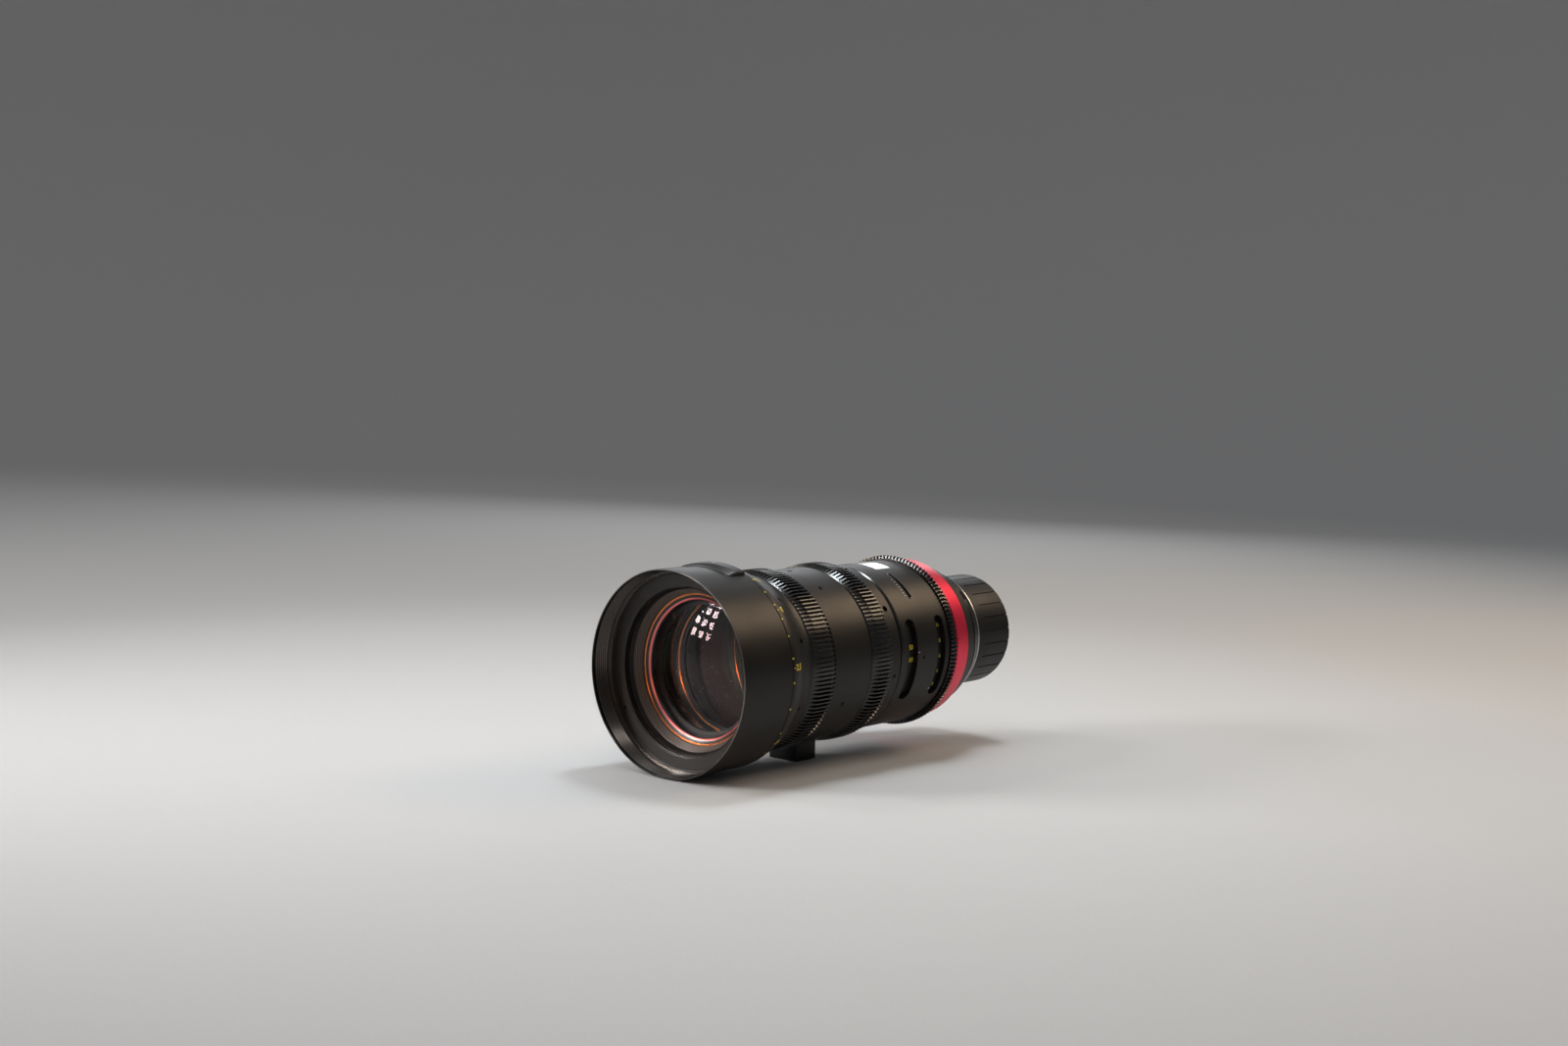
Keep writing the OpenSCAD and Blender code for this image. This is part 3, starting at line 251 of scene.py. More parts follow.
def bar(radius: float, inner: float, outer: float, station: float, clock: float) -> Solid:
    """Makes a round bar that points away from the axis.

    Args:
        radius: Bar radius in mm.
        inner: Radius at which it starts.
        outer: Radius at which it ends.
        station: Station of its centre line.
        clock: Clock angle of its centre line.

    Returns:
        The closed mesh.
    """
    turn = Matrix.Rotation(math.radians(clock), 4, "Y")
    move = Matrix.Translation((0, (station - FLANGE_STATION) * MM, (inner + outer) / 2 * MM))
    return cylinder(radius, outer - inner, turn @ move, 40)


def along_axis(radius: float, length: float, at: Vector) -> Solid:
    """Makes a round bar that runs along the optical axis, its middle at a point."""
    return cylinder(radius, length, Matrix.Translation(at) @ Matrix.Rotation(math.pi / 2, 4, "X"))


def slot_cutter(station: float, width: float, first: float, last: float, inner: float,
                outer: float) -> Solid:
    """Makes the solid of a slot round the axis with round ends.

    Args:
        station: Station of its front edge.
        width: Width along the axis.
        first: Clock angle where it starts.
        last: Clock angle where it ends.
        inner: Radius of its floor.
        outer: Radius of its top.

    Returns:
        The closed mesh.
    """
    mesh = bmesh.new()
    outline = slot_outline(station, width, first, last, outer)
    low = [mesh.verts.new(place(s, inner, c)) for s, c in outline]
    high = [mesh.verts.new(place(s, outer, c)) for s, c in outline]
    skin(mesh, low, high)
    count = len(outline)
    for k in range(count // 2 - 1):
        for row in (low, high):
            mesh.faces.new((row[k], row[k + 1], row[count - 2 - k], row[count - 1 - k]))
    return outwards(mesh)


def slot_outline(station: float, width: float, first: float, last: float,
                 radius: float) -> list[tuple[float, float]]:
    """Lists the outline of a round-ended slot.

    Args:
        station: Station of its front edge.
        width: Width along the axis.
        first: Clock angle where it starts.
        last: Clock angle where it ends.
        radius: Radius of the surface that it lies in.

    Returns:
        Points as (station, clock angle), the front edge first and then the rear edge back. The
        two edges' end points stand a hair apart, so that no face has two corners in one place.
    """
    half, middle = width / 2, station + width / 2
    end = math.degrees(half / radius)
    bend, run, nudge = 10, 28, 1e-4
    turns = [math.pi / 2 * k / bend for k in range(bend + 1)]
    front = [(middle - half * math.sin(t), first + end * (1 - math.cos(t))) for t in turns]
    front += [(middle - half, first + end + (last - first - 2 * end) * k / run)
              for k in range(1, run)]
    turns = [math.pi / 2 * (1 - k / bend) for k in range(bend + 1)]
    front += [(middle - half * math.sin(t), last - end * (1 - math.cos(t))) for t in turns]
    back = [(2 * middle - s, c) for s, c in reversed(front)]
    ends = (0, len(front) - 1)
    return [(s + side * (nudge if i in ends else 0), c)
            for side, row in ((-1, front), (1, back)) for i, (s, c) in enumerate(row)]


def bead(points: Sequence[Vector], radius: float, sides: int = 6) -> Solid:
    """Lays a thin rolled edge along a closed line.

    Args:
        points: The closed line, in metres.
        radius: Radius of the bead in mm.
        sides: Faces round it.

    Returns:
        The closed mesh.
    """
    mesh = bmesh.new()
    count = len(points)
    turns = [math.tau * k / sides for k in range(sides)]
    rings = []
    for i, point in enumerate(points):
        along = (points[(i + 1) % count] - points[i - 1]).normalized()
        out = Vector((point.x, 0, point.z)).normalized()
        across = along.cross(out).normalized()
        out = across.cross(along).normalized()
        aside = [(out * math.cos(t) + across * math.sin(t)) * radius * MM for t in turns]
        rings.append([mesh.verts.new(point + step) for step in aside])
    for i in range(count):
        skin(mesh, rings[i], rings[(i + 1) % count])
    return outwards(mesh)


def with_rings(profile: Profile, stations: Sequence[float]) -> Profile:
    """Adds points to a profile where it passes the given stations, beside what is cut there.

    Args:
        profile: Closed profile as (station, radius).
        stations: Stations of the new points.

    Returns:
        The profile with the points added.
    """
    made: Profile = []
    for (s0, r0), (s1, r1) in zip(profile, [*profile[1:], profile[0]]):
        made.append((s0, r0))
        between = [s for s in stations if min(s0, s1) + 0.1 < s < max(s0, s1) - 0.1]
        for s in sorted(between, reverse=s1 < s0):
            made.append((s, r0 + (r1 - r0) * (s - s0) / (s1 - s0)))
    return made


def paint_bands(piece: Mesh, finish: Material, bands: Bands) -> None:
    """Gives the faces of a turned piece inside some bands another finish.

    Args:
        piece: The turned piece.
        finish: Material of the bands.
        bands: Each as first and last station, least and greatest radius.
    """
    piece.data.materials.append(finish)
    index = len(piece.data.materials) - 1
    for face in piece.data.polygons:
        s = face.center.y / MM + FLANGE_STATION
        r = math.hypot(face.center.x, face.center.z) / MM
        if any(a <= s <= b and c <= r <= d for a, b, c, d in bands):
            face.material_index = index


def pour(mesh: Solid, part: Mesh | Solid) -> None:
    """Adds an object or a bmesh to a bmesh, and removes it.

    Args:
        mesh: The bmesh that stays.
        part: What is added.
    """
    if isinstance(part, Solid):
        data = bpy.data.meshes.new("part")
        part.to_mesh(data)
        part.free()
        mesh.from_mesh(data)
        bpy.data.meshes.remove(data)
    else:
        mesh.from_mesh(part.data)
        bpy.data.objects.remove(part)


def cut(piece: Mesh, cutters: Sequence[Solid]) -> None:
    """Cuts solids out of a piece for good.

    Args:
        piece: The piece to cut.
        cutters: Closed meshes, which don't touch one another.
    """
    joined = bmesh.new()
    for cutter in cutters:
        pour(joined, cutter)
    tool = new_piece("cutter", joined, None)
    step = piece.modifiers.new("cut", "BOOLEAN")
    step.operation, step.solver, step.object = "DIFFERENCE", "EXACT", tool
    settle(piece)
    bpy.data.objects.remove(tool)


def settle(piece: Mesh) -> None:
    """Turns what a piece's modifiers make into its plain mesh, and removes them.

    Args:
        piece: The piece with its modifiers.
    """
    bpy.context.view_layer.update()
    graph = bpy.context.evaluated_depsgraph_get()
    made = bpy.data.meshes.new_from_object(piece.evaluated_get(graph))
    piece.modifiers.clear()
    piece.data = made
    made.name = piece.name


def join(piece: Mesh, *others: Mesh | Solid) -> None:
    """Adds other meshes to a piece, with the piece's first finish.

    Args:
        piece: The piece that stays.
        others: Objects or bmeshes, which are removed.
    """
    mesh = bmesh.new()
    mesh.from_mesh(piece.data)
    for other in others:
        pour(mesh, other)
    mesh.to_mesh(piece.data)
    mesh.free()


def seat(piece: Mesh, body: str, slot: Slot, *nodes: str) -> None:
    """Ties a finished piece to the frame.

    Args:
        piece: The finished piece.
        body: CAD body that it moves with.
        slot: Material slot; not used.
        nodes: CAD nodes that it stands for.
    """
    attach(piece, body)
    if nodes:
        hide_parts(*nodes)
    LOG.info("%s: %d faces on %s", piece.name, len(piece.data.polygons), body)


class NodeSketch:
    """Short hand for building a node tree."""

    def __init__(self, tree: Tree) -> None:
        """Keeps the tree that the nodes go into."""
        self.tree = tree

    def add(self, kind: str, settings: dict | None = None, **inputs: object) -> Node:
        """Adds a node.

        Args:
            kind: Blender's name of the node type.
            settings: Properties of the node.
            inputs: Values or sockets for its inputs, by name with _ for a space.

        Returns:
            The new node.
        """
        node = self.tree.nodes.new(kind)
        for key, value in (settings or {}).items():
            setattr(node, key, value)
        for key, value in inputs.items():
            self.feed(node, key.replace("_", " "), value)
        return node

    def feed(self, node: Node, key: str | int, value: object) -> None:
        """Links a socket to an input, or sets its value.

        Args:
            node: Node with the input.
            key: Name or index of the input.
            value: Socket or plain value.
        """
        socket = node.inputs[key]
        if isinstance(value, Socket):
            self.tree.links.new(value, socket)
        else:
            socket.default_value = value

    def math(self, operation: str, *values: object) -> Socket:
        """Adds a Math node.

        Args:
            operation: Blender's name of the operation.
            values: Sockets or plain values, in order.

        Returns:
            Its output.
        """
        node = self.add("ShaderNodeMath", {"operation": operation})
        for key, value in enumerate(values):
            self.feed(node, key, value)
        return node.outputs[0]

    def spot(self) -> Socket:
        """Returns the place on the object, which textures are laid by."""
        return self.add("ShaderNodeTexCoord").outputs["Object"]

    def group(self, tree: Tree, **inputs: object) -> Node:
        """Adds a node group."""
        return self.add("ShaderNodeGroup", {"node_tree": tree}, **inputs)

    def spread(self, value: Socket, first: float, last: float) -> Socket:
        """Maps the part of a value between two limits onto 0 to 1."""
        limits = {"From_Min": first, "From_Max": last}
        return self.add("ShaderNodeMapRange", Value=value, **limits).outputs["Result"]


def new_material(name: str) -> tuple[Material, NodeSketch, Node]:
    """Makes a node material.

    Args:
        name: Name of the material.

    Returns:
        The material, the sketch of its tree and its shader.
    """
    material = bpy.data.materials.new(name)
    material.use_nodes = True
    sketch = NodeSketch(material.node_tree)
    return material, sketch, material.node_tree.nodes["Principled BSDF"]


class EffectGroups:
    """Shader node groups for the effects that more than one finish uses."""

    def __init__(self) -> None:
        """Builds each group once."""
        self.turning = self._turning()
        self.grain = self._grain()
        self.wear = self._wear()
        self.dust = self._dust()

    @staticmethod
    def _start(name: str, inputs: dict[str, float], *outputs: str) -> tuple:
        """Makes an empty group with float sockets.

        Args:
            name: Name of the group.
            inputs: Input names and their defaults.
            outputs: Output names.

        Returns:
            The tree, its sketch, and its input and output nodes.
        """
        tree = bpy.data.node_groups.new(name, "ShaderNodeTree")
        kind = "NodeSocketFloat"
        for key, value in inputs.items():
            socket = tree.interface.new_socket(name=key, in_out="INPUT", socket_type=kind)
            socket.default_value = value
        for key in outputs:
            tree.interface.new_socket(name=key, in_out="OUTPUT", socket_type=kind)
        sketch = NodeSketch(tree)
        return tree, sketch, sketch.add("NodeGroupInput"), sketch.add("NodeGroupOutput")

    def _turning(self) -> Tree:
        """Fine rings that a lathe leaves, round the optical axis."""
        tree, sketch, given, result = self._start(
            "turning_marks", {"Spacing mm": 0.25, "Depth": 1.0}, "Height", "Tone")
        parts = sketch.add("ShaderNodeSeparateXYZ", Vector=sketch.spot())
        flat = sketch.add("ShaderNodeCombineXYZ", X=parts.outputs["X"], Z=parts.outputs["Z"])
        radius = sketch.add("ShaderNodeVectorMath", {"operation": "LENGTH"}, Vector=flat.outputs[0])
        travel = sketch.math("ADD", parts.outputs["Y"], radius.outputs["Value"])
        rings = sketch.math("DIVIDE", sketch.math("MULTIPLY", travel, 1 / MM), given.outputs[0])
        noise = sketch.add("ShaderNodeTexNoise", {"noise_dimensions": "1D"}, W=rings, Scale=1.0,
                           Detail=3.0, Roughness=0.6)
        tone = noise.outputs["Fac"]
        sketch.feed(result, "Height", sketch.math("MULTIPLY", tone, given.outputs[1]))
        sketch.feed(result, "Tone", tone)
        return tree

    def _grain(self) -> Tree:
        """Fine grain of a blasted and anodised or moulded surface, with broad cloudiness."""
        tree, sketch, given, result = self._start(
            "blasted_grain", {"Grain mm": 0.18, "Depth": 1.0}, "Height", "Clouds")
        spot = sketch.spot()
        scale = sketch.math("DIVIDE", 1 / MM, given.outputs[0])
        fine = sketch.add("ShaderNodeTexNoise", Vector=spot, Scale=scale, Detail=2.0,
                          Roughness=0.65)
        broad = sketch.add("ShaderNodeTexNoise", Vector=spot, Scale=38.0, Detail=4.0, Roughness=0.6)
        height = sketch.math("MULTIPLY", fine.outputs["Fac"], given.outputs[1])
        sketch.feed(result, "Height", height)
        sketch.feed(result, "Clouds", broad.outputs["Fac"])
        return tree

    def _wear(self) -> Tree:
        """Mask of rubbed edges, broken up by noise."""
        tree, sketch, given, result = self._start(
            "rubbed_edges", {"Amount": 0.5, "Patch mm": 3.0}, "Mask")
        point = sketch.add("ShaderNodeNewGeometry").outputs["Pointiness"]
        scale = sketch.math("DIVIDE", 1 / MM, given.outputs[1])
        patch = sketch.add("ShaderNodeTexNoise", Vector=sketch.spot(), Scale=scale, Detail=4.0,
                           Roughness=0.7)
        both = sketch.math("MULTIPLY", sketch.spread(point, 0.53, 0.62),
                           sketch.spread(patch.outputs["Fac"], 0.48, 0.66))
        sketch.feed(result, "Mask", sketch.math("MULTIPLY", both, given.outputs[0]))
        return tree

    def _dust(self) -> Tree:
        """Sparse specks of dust."""
        tree, sketch, given, result = self._start(
            "dust_specks", {"Spacing mm": 3.0, "Speck share": 0.05}, "Mask")
        spot = sketch.spot()
        scale = sketch.math("DIVIDE", 1 / MM, given.outputs[0])
        cells = sketch.add("ShaderNodeTexVoronoi", Vector=spot, Scale=scale)
        speck = sketch.math("LESS_THAN", cells.outputs["Distance"], given.outputs[1])
        some = sketch.add("ShaderNodeTexNoise", Vector=spot, Scale=60.0, Detail=1.0)
        where = sketch.math("GREATER_THAN", some.outputs["Fac"], 0.56)
        sketch.feed(result, "Mask", sketch.math("MULTIPLY", speck, where))
        return tree


@dataclass(frozen=True)
class SolidFinish:
    """Finish of an opaque surface.

    Attributes say what shows: colours in linear RGB, sizes in mm, depths in micrometres.
    """

    name: str
    colour: Colour
    shade_colour: Colour
    rub_colour: Colour = (0.25, 0.24, 0.23)
    metallic: float = 0.0
    rough: tuple[float, float] = (0.34, 0.46)
    tint: Colour = (1.0, 1.0, 1.0)
    specular: float = 0.5
    grain_mm: float = 0.18
    grain_um: float = 3.0
    turn_mm: float = 0.22
    turn_um: float = 0.0
    wear: float = 0.5
    dust: float = 0.03

    def build(self, groups: EffectGroups) -> Material:
        """Builds the material.

        Args:
            groups: Shared effect groups.

        Returns:
            The node material.
        """
        material, sketch, shader = new_material(self.name)
        grain = sketch.group(groups.grain, Grain_mm=self.grain_mm, Depth=self.grain_um)
        turning = sketch.group(groups.turning, Spacing_mm=self.turn_mm, Depth=self.turn_um)
        wear = sketch.group(groups.wear, Amount=self.wear)
        dust = sketch.group(groups.dust, Speck_share=self.dust)
        clouds = grain.outputs["Clouds"]
        base = self._blend(sketch, clouds, (*self.shade_colour, 1), (*self.colour, 1))
        rubbed = self._blend(sketch, wear.outputs["Mask"], base, (*self.rub_colour, 1))
        dusty = self._blend(sketch, dust.outputs["Mask"], rubbed, (0.42, 0.41, 0.39, 1))
        mixed = sketch.math("ADD", sketch.math("MULTIPLY", clouds, 0.7),
                            sketch.math("MULTIPLY", turning.outputs["Tone"], 0.3))
        rough = sketch.add("ShaderNodeMapRange", Value=mixed, **{
            "From_Min": 0.3, "From_Max": 0.7, "To_Min": self.rough[0], "To_Max": self.rough[1]})
        height = sketch.math("ADD", grain.outputs["Height"], turning.outputs["Height"])
        bump = sketch.add("ShaderNodeBump", Height=height, Strength=1.0, Distance=1e-6)
        for key, value in {
                "Base Color": dusty, "Roughness": rough.outputs["Result"],
                "Normal": bump.outputs["Normal"], "Metallic": self.metallic,
                "Specular IOR Level": self.specular, "Specular Tint": (*self.tint, 1)}.items():
            sketch.feed(shader, key, value)
        return material

    @staticmethod
    def _blend(sketch: NodeSketch, share: Socket, first: object, second: object) -> Socket:
        """Mixes two colours.

        Args:
            sketch: Sketch of the tree.
            share: Share of the second colour.
            first: First colour.
            second: Second colour.

        Returns:
            The mixed colour.
        """
        node = sketch.add("ShaderNodeMix", {"data_type": "RGBA"})
        for key, value in ((0, share), (6, first), (7, second)):
            sketch.feed(node, key, value)
        return node.outputs[2]


@dataclass(frozen=True)
class GlassFinish:
    """Finish of a coated glass, clear but for the colour of its coat's reflections.

    Its index is below that of bare glass, because a coat weakens reflections at every angle.
    """

    name: str
    coat: Colour
    ior: float = 1.3
    tint: Colour = (0.97, 0.98, 0.99)

    def build(self, groups: EffectGroups) -> Material:
        """Builds the material.

        Args:
            groups: Shared effect groups.

        Returns:
            The node material, which lets lamp light and soft light straight through to what is
            behind it.
        """
        material, sketch, shader = new_material(self.name)
        dust = sketch.group(groups.dust, Speck_share=0.04, Spacing_mm=4.0)
        for key, value in {
                "Base Color": (*self.tint, 1), "IOR": self.ior, "Specular Tint": (*self.coat, 1),
                "Transmission Weight": 1.0,
                "Roughness": sketch.math("MULTIPLY", dust.outputs["Mask"], 0.35)}.items():
            sketch.feed(shader, key, value)
        clear = sketch.add("ShaderNodeBsdfTransparent")
        path = sketch.add("ShaderNodeLightPath")
        mix = sketch.add("ShaderNodeMixShader")
        straight = sketch.math("MAXIMUM", path.outputs["Is Shadow Ray"],
                               path.outputs["Is Diffuse Ray"])
        for key, value in enumerate((straight, shader.outputs[0], clear.outputs[0])):
            sketch.feed(mix, key, value)
        sketch.feed(sketch.tree.nodes["Material Output"], "Surface", mix.outputs[0])
        return material


class Finishes:
    """Every material of the lens, each built once."""

    def __init__(self) -> None:
        """Builds the materials."""
        groups = EffectGroups()
        solid = [
            SolidFinish("black_anodised", (0.006, 0.0053, 0.0048), (0.004, 0.0036, 0.0033),
                        tint=(1.0, 0.93, 0.86), specular=0.28, rough=(0.36, 0.44), turn_um=0.5,
                        rub_colour=(0.12, 0.11, 0.1), wear=0.25),
            SolidFinish("foot_black", (0.006, 0.0053, 0.0048), (0.004, 0.0036, 0.0033),
                        specular=0.28, rough=(0.4, 0.5), grain_um=3.0, wear=0.0),
            SolidFinish("black_gear", (0.008, 0.0075, 0.007), (0.005, 0.005, 0.005),
                        specular=0.5, rough=(0.18, 0.24), wear=0.2, rub_colour=(0.12, 0.11, 0.1)),
            SolidFinish("rim_edge", (0.2, 0.19, 0.18), (0.15, 0.14, 0.13), metallic=0.9,
                        rough=(0.24, 0.32), grain_um=0.6, wear=0.0),
            SolidFinish("thread_edge", (0.1, 0.085, 0.075), (0.07, 0.06, 0.053), metallic=0.9,
                        rough=(0.2, 0.3), grain_um=0.5, wear=0.0, dust=0.0),
            SolidFinish("inside_black", (0.0045, 0.004, 0.004), (0.003, 0.003, 0.003),
                        specular=0.2, rough=(0.46, 0.54), turn_um=1.0, wear=0.0, dust=0.0),
            SolidFinish("black_rim", (0.009, 0.0085, 0.008), (0.006, 0.006, 0.006), specular=0.4,
                        rough=(0.18, 0.26), turn_um=0.8, turn_mm=0.3, rub_colour=(0.3, 0.28, 0.25)),
            SolidFinish("mouth_bronze", (0.017, 0.013, 0.0105), (0.011, 0.0085, 0.007),
                        specular=0.28, rough=(0.26, 0.34), turn_um=1.6, turn_mm=0.35,
                        rub_colour=(0.3, 0.2, 0.13), wear=0.1),
            # Lighter bronze for the conical band of the lens cell: partly its own bronze, partly
            # painted light where a bright lamp falls.
            SolidFinish("cone_bronze", (0.11, 0.085, 0.072), (0.08, 0.06, 0.051), metallic=0.4,
                        rough=(0.28, 0.38), turn_um=1.6, turn_mm=0.35, rub_colour=(0.3, 0.2, 0.13)),
            # Orange metal for thin edges in the mouth and the cells: a painted highlight for warm
            # light on those edges.
            SolidFinish("orange_edge", (0.62, 0.21, 0.07), (0.45, 0.13, 0.045), metallic=0.9,
                        rough=(0.2, 0.3), turn_um=0.5, wear=0.2, rub_colour=(0.7, 0.35, 0.15)),
            # Pink metal for one band of the front glass clamp: a painted reflection of the red
            # coat.
            SolidFinish("pink_edge", (0.75, 0.2, 0.18), (0.6, 0.13, 0.12), metallic=0.8,
                        rough=(0.24, 0.34), turn_um=0.5, wear=0.2, rub_colour=(0.8, 0.35, 0.3)),
            SolidFinish("red_anodised", (0.86, 0.02, 0.075), (0.74, 0.015, 0.055), metallic=0.8,
                        rough=(0.3, 0.4), turn_um=0.7, rub_colour=(0.7, 0.3, 0.3), wear=0.35),
            SolidFinish("scale_drum_black", (0.007, 0.007, 0.007), (0.005, 0.005, 0.005),
                        specular=0.35, rough=(0.42, 0.52), turn_um=0.6, wear=0.2),
            SolidFinish("mount_black", (0.006, 0.006, 0.0065), (0.004, 0.004, 0.004), specular=0.14,
                        rough=(0.2, 0.28), turn_um=0.3, wear=0.3),
            SolidFinish("mount_steel", (0.56, 0.55, 0.53), (0.48, 0.47, 0.46), metallic=1.0,
                        rough=(0.22, 0.34), turn_um=1.2, grain_um=0.6, wear=0.2, dust=0.02,
                        rub_colour=(0.7, 0.69, 0.67)),
            SolidFinish("plate_gloss", (0.8, 0.8, 0.8), (0.72, 0.72, 0.73), metallic=0.9,
                        rough=(0.16, 0.24), grain_um=0.3, wear=0.1, rub_colour=(0.8, 0.8, 0.8)),
            SolidFinish("screw_black", (0.03, 0.03, 0.032), (0.02, 0.02, 0.02), metallic=0.6,
                        rough=(0.22, 0.32), grain_um=1.0, wear=1.0),
            SolidFinish("inner_aluminium", (0.34, 0.34, 0.35), (0.26, 0.26, 0.27), metallic=1.0,
                        rough=(0.3, 0.42), turn_um=1.5, grain_um=1.0),
            SolidFinish("cell_black", (0.012, 0.01, 0.009), (0.007, 0.006, 0.006), specular=0.45,
                        rough=(0.28, 0.4), turn_um=1.5, turn_mm=0.4, rub_colour=(0.3, 0.16, 0.08)),
            SolidFinish("pin_brass", (0.62, 0.42, 0.16), (0.5, 0.33, 0.12), metallic=1.0,
                        rough=(0.22, 0.34), grain_um=0.6),
            SolidFinish("blade_steel", (0.03, 0.03, 0.033), (0.02, 0.02, 0.022), metallic=0.8,
                        rough=(0.34, 0.46), grain_um=0.8),
            SolidFinish("cap_plastic", (0.0085, 0.008, 0.008), (0.006, 0.0055, 0.0055),
                        specular=0.2, rough=(0.38, 0.5), grain_mm=0.3, grain_um=9.0, wear=0.0),
            SolidFinish("yellow_paint", (0.8, 0.62, 0.015), (0.66, 0.5, 0.012), rough=(0.42, 0.55),
                        grain_um=4.0, grain_mm=0.1, wear=0.0, dust=0.0),
            SolidFinish("white_paint", (0.78, 0.78, 0.76), (0.66, 0.66, 0.64), rough=(0.42, 0.55),
                        grain_um=4.0, grain_mm=0.1, wear=0.0, dust=0.0),
            SolidFinish("line_black", (0.003, 0.003, 0.003), (0.002, 0.002, 0.002), specular=0.2,
                        rough=(0.5, 0.6), wear=0.0, dust=0.0),
        ]
        clear = [
            GlassFinish("glass_front", (0.75, 0.5, 0.52)),
            GlassFinish("glass_teal_coat", (0.04, 0.1, 0.12)),
            GlassFinish("glass_green_coat", (0.03, 0.9, 0.2)),
            GlassFinish("glass_red_coat", (0.9, 0.05, 0.05)),
            GlassFinish("glass_inner", (0.018, 0.013, 0.024)),
        ]
        self.made = {finish.name: finish.build(groups) for finish in [*solid, *clear]}

    def __getitem__(self, name: str) -> Material:
        """Finds a material by name."""
        return self.made[name]


class RepeatTrees:
    """Geometry node trees that repeat a piece round the lens."""

    def __init__(self) -> None:
        """Builds each tree once."""
        self.round_axis = self._round_axis()
        self.at_places = self._at_places()
        self.ticks = self._ticks()

    @staticmethod
    def _start(name: str, sockets: dict[str, object]) -> tuple:
        """Makes an empty tree with a Finish input.

        Args:
            name: Name of the tree.
            sockets: Its other inputs by name, each with a default or with Object as its kind.

        Returns:
            The tree, its sketch, and its input and output nodes.
        """
        tree = bpy.data.node_groups.new(name, "GeometryNodeTree")

        def socket(key: str, kind: str, way: str = "INPUT") -> bpy.types.NodeTreeInterfaceSocket:
            """Adds a socket to the tree."""
            return tree.interface.new_socket(name=key, in_out=way, socket_type="NodeSocket" + kind)

        socket("Geometry", "Geometry")
        for key, value in sockets.items():
            if value == "Object":
                socket(key, value)
            else:
                socket(key, "Int" if isinstance(value, int) else "Float").default_value = value
        socket("Finish", "Material")
        socket("Geometry", "Geometry", "OUTPUT")
        sketch = NodeSketch(tree)
        return tree, sketch, sketch.add("NodeGroupInput"), sketch.add("NodeGroupOutput")

    @staticmethod
    def _repeat(sketch: NodeSketch, given: Node, result: Node, points: Socket, piece: Socket,
                angle: Socket, **scale: Socket) -> None:
        """Puts a piece on points, turned about the optical axis, and ends the tree.

        Args:
            sketch: Sketch of the tree.
            given: Its input node.
            result: Its output node.
            points: Where the copies go.
            piece: What is copied.
            angle: Turn of each copy.
            scale: The copies' scale, where they have one.
        """
        turn = sketch.add("FunctionNodeAxisAngleToRotation", Axis=(0, 1, 0), Angle=angle)
        copies = sketch.add("GeometryNodeInstanceOnPoints", Points=points, Instance=piece,
                            Rotation=turn.outputs[0], **scale)
        real = sketch.add("GeometryNodeRealizeInstances", Geometry=copies.outputs[0])
        done = sketch.add("GeometryNodeSetMaterial", Geometry=real.outputs[0],
                          Material=given.outputs["Finish"])
        sketch.feed(result, "Geometry", done.outputs[0])

    def _at_equal_angles(self, sketch: NodeSketch, given: Node, result: Node,
                         piece: Socket) -> None:
        """Repeats a piece at equal angles about the optical axis, and ends the tree.

        Args:
            sketch: Sketch of the tree.
            given: Its input node, with the angles.
            result: Its output node.
            piece: What is copied.
        """
        line = sketch.add("GeometryNodeMeshLine", Count=given.outputs["Copies"], Offset=(0, 0, 0))
        index = sketch.add("GeometryNodeInputIndex").outputs[0]
        angle = sketch.math("MULTIPLY_ADD", index, given.outputs["Step angle"],
                            given.outputs["First angle"])
        self._repeat(sketch, given, result, line.outputs[0], piece, angle)

    def _round_axis(self) -> Tree:
        """Copies the piece's own mesh at equal angles round the optical axis."""
        tree, sketch, given, result = self._start(
            "copies_round_axis", {"Copies": 12, "First angle": 0.0, "Step angle": 0.1})
        self._at_equal_angles(sketch, given, result, given.outputs["Geometry"])
        return tree

    def _at_places(self) -> Tree:
        """Puts a named piece at each vertex, turned to face outwards by its clock value."""
        tree, sketch, given, result = self._start(
            "pieces_at_places", {"Piece": "Object", "Size": 1.0})
        piece = sketch.add("GeometryNodeObjectInfo", Object=given.outputs["Piece"])
        clock = sketch.add("GeometryNodeInputNamedAttribute", {"data_type": "FLOAT"}, Name="clock")
        size = sketch.add("ShaderNodeCombineXYZ", **{axis: given.outputs["Size"] for axis in "XYZ"})
        self._repeat(sketch, given, result, given.outputs["Geometry"], piece.outputs["Geometry"],
                     clock.outputs["Attribute"], Scale=size.outputs[0])
        return tree

    def _ticks(self) -> Tree:
        """Puts small flat marks at equal angles round the axis at one station and radius."""
        tree, sketch, given, result = self._start("ticks_round_axis", {
            "Copies": 5, "First angle": 0.0, "Step angle": 0.1, "Radius": 0.05, "Place": 0.0,
            "Width": 0.0003, "Length": 0.002, "Lift": 0.00004})
        size = sketch.add("ShaderNodeCombineXYZ", X=given.outputs["Width"],
                          Y=given.outputs["Length"], Z=given.outputs["Lift"])
        block = sketch.add("GeometryNodeMeshCube", Size=size.outputs[0])
        spot = sketch.add("ShaderNodeCombineXYZ", Y=given.outputs["Place"],
                          Z=given.outputs["Radius"])
        moved = sketch.add("GeometryNodeTransform", Geometry=block.outputs[0],
                           Translation=spot.outputs[0])
        self._at_equal_angles(sketch, given, result, moved.outputs[0])
        return tree

    @staticmethod
    def grow(piece: Mesh, tree: Tree, **values: object) -> Mesh:
        """Runs a tree on a piece and keeps the result as its plain mesh.

        Args:
            piece: The piece whose mesh goes in.
            tree: The node tree.
            values: Its inputs by name, with _ for a space.

        Returns:
            The same piece.
        """
        step = piece.modifiers.new("repeat", "NODES")
        step.node_group = tree
        names = {key.replace("_", " "): value for key, value in values.items()}
        for socket in tree.interface.items_tree:
            if socket.in_out == "INPUT" and socket.name in names:
                step[socket.identifier] = names[socket.name]
        settle(piece)
        return piece


